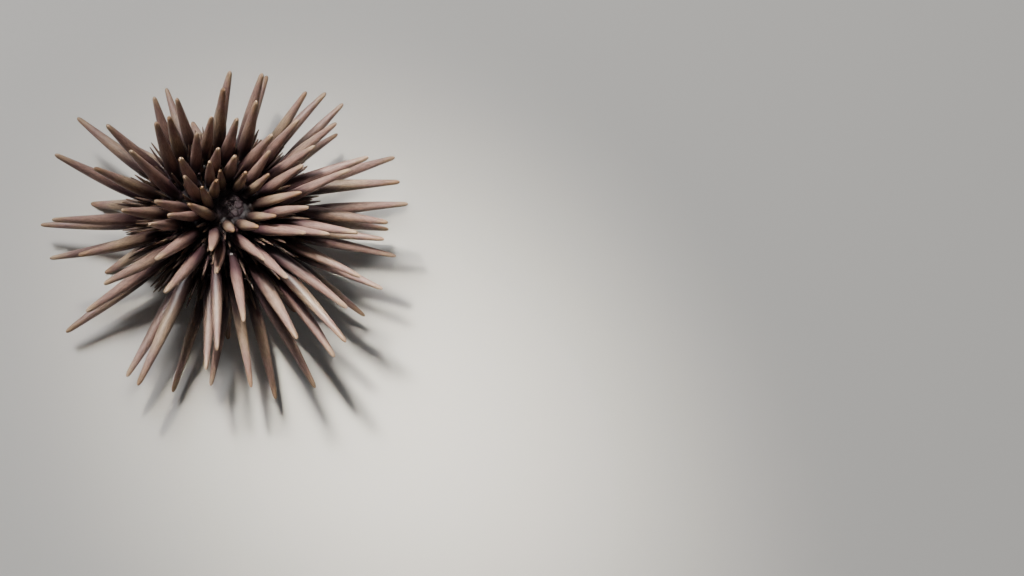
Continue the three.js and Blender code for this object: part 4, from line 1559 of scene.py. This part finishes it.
gill_piece = spines_piece("gills", fingers, profile_of(FINGER_RINGS), GILL_SIDES, root_patches, bow=0.05)
gill_piece.data.materials.append(flesh_material("gill", srgb(46, 24, 28), srgb(92, 56, 54)))
print(gill_piece.name, len(gill_piece.data.polygons), "faces")

# %% [markdown]
# ## Floor
#
# A plain pale floor, far larger than the picture shows, lets the shadows tell how the animal stands. It is
# declared as stage, so that it isn't taken for a part of the animal. Its finish is dull, because a shiny one
# would mirror the dark underside.

# %% Floor
FLOOR_SIZE = 6.0


def make_floor():
    half = FLOOR_SIZE / 2
    corners = [(-half, -half, 0), (half, -half, 0), (half, half, 0), (-half, half, 0)]
    mesh = bpy.data.meshes.new("floor")
    mesh.from_pydata(corners, [], [(0, 1, 2, 3)])
    floor = add_object("floor", mesh, smooth=False)
    material, _, _, shader = new_material("pale_floor")
    shader.inputs["Base Color"].default_value = srgb(222, 218, 210)
    shader.inputs["Roughness"].default_value = 0.85
    mesh.materials.append(material)
    floor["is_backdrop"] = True


make_floor()
print("floor:", FLOOR_SIZE, "m square")

# %% [markdown]
# ## Light
#
# Plain soft studio light shows the form without telling a story. The key light is a soft panel at the upper
# left. A second, weak one on the same side is narrowed like a lamp behind a honeycomb and aimed past the
# lower right of the animal, so the spines there are brightest, as in the photo, and the light fades out over
# the floor without an edge. A faint even glow from all round keeps the gaps from going quite black.

# %% Lights
KEY_AT = (-0.96, 1.15, 1.6)
KEY_SIZE = 0.4
KEY_WATTS = 46.0
KEY_COLOUR = (0.96, 0.97, 1.0)
BEAM_AT = (-0.22, 0.26, 0.5)
BEAM_SIZE = 0.06
BEAM_WATTS = 0.085
BEAM_COLOUR = (1.0, 0.95, 0.86)
BEAM_SPREAD = 16.0
LIT_SIDE = (0.055, -0.05, 0.0)
SKY_COLOUR = (0.9, 0.94, 1.0, 1.0)
SKY_STRENGTH = 0.09


def area_light(name, place, aim, size, watts, colour, spread=180.0):
    """A square soft panel that faces its aim. A small spread, in degrees, makes a beam of it."""
    data = bpy.data.lights.new(name, "AREA")
    data.size = size
    data.energy = watts
    data.color = colour
    data.spread = math.radians(spread)
    light = bpy.data.objects.new(name, data)
    light.location = place
    light.rotation_euler = (Vector(aim) - Vector(place)).to_track_quat("-Z", "Y").to_euler()
    bpy.context.scene.collection.objects.link(light)


area_light("key", KEY_AT, (0, 0, 0), KEY_SIZE, KEY_WATTS, KEY_COLOUR)
area_light("beam", BEAM_AT, LIT_SIDE, BEAM_SIZE, BEAM_WATTS, BEAM_COLOUR, spread=BEAM_SPREAD)
world = bpy.data.worlds.new("studio")
world.use_nodes = True
sky = world.node_tree.nodes["Background"]
sky.inputs["Color"].default_value = SKY_COLOUR
sky.inputs["Strength"].default_value = SKY_STRENGTH
bpy.context.scene.world = world
bpy.context.scene.view_settings.view_transform = "AgX"
print("lights:", ", ".join(light.name for light in bpy.data.lights))

# %% [markdown]
# ## Finish
#
# Last, the box of the finished model is written beside the frame's own box, so that the two can be compared.

# %% Sizes and finish
visual_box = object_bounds()
for name, box in (("frame", cad_box), ("model", visual_box)):
    print(name, [[round(value / MM, 1) for value in corner] for corner in box])
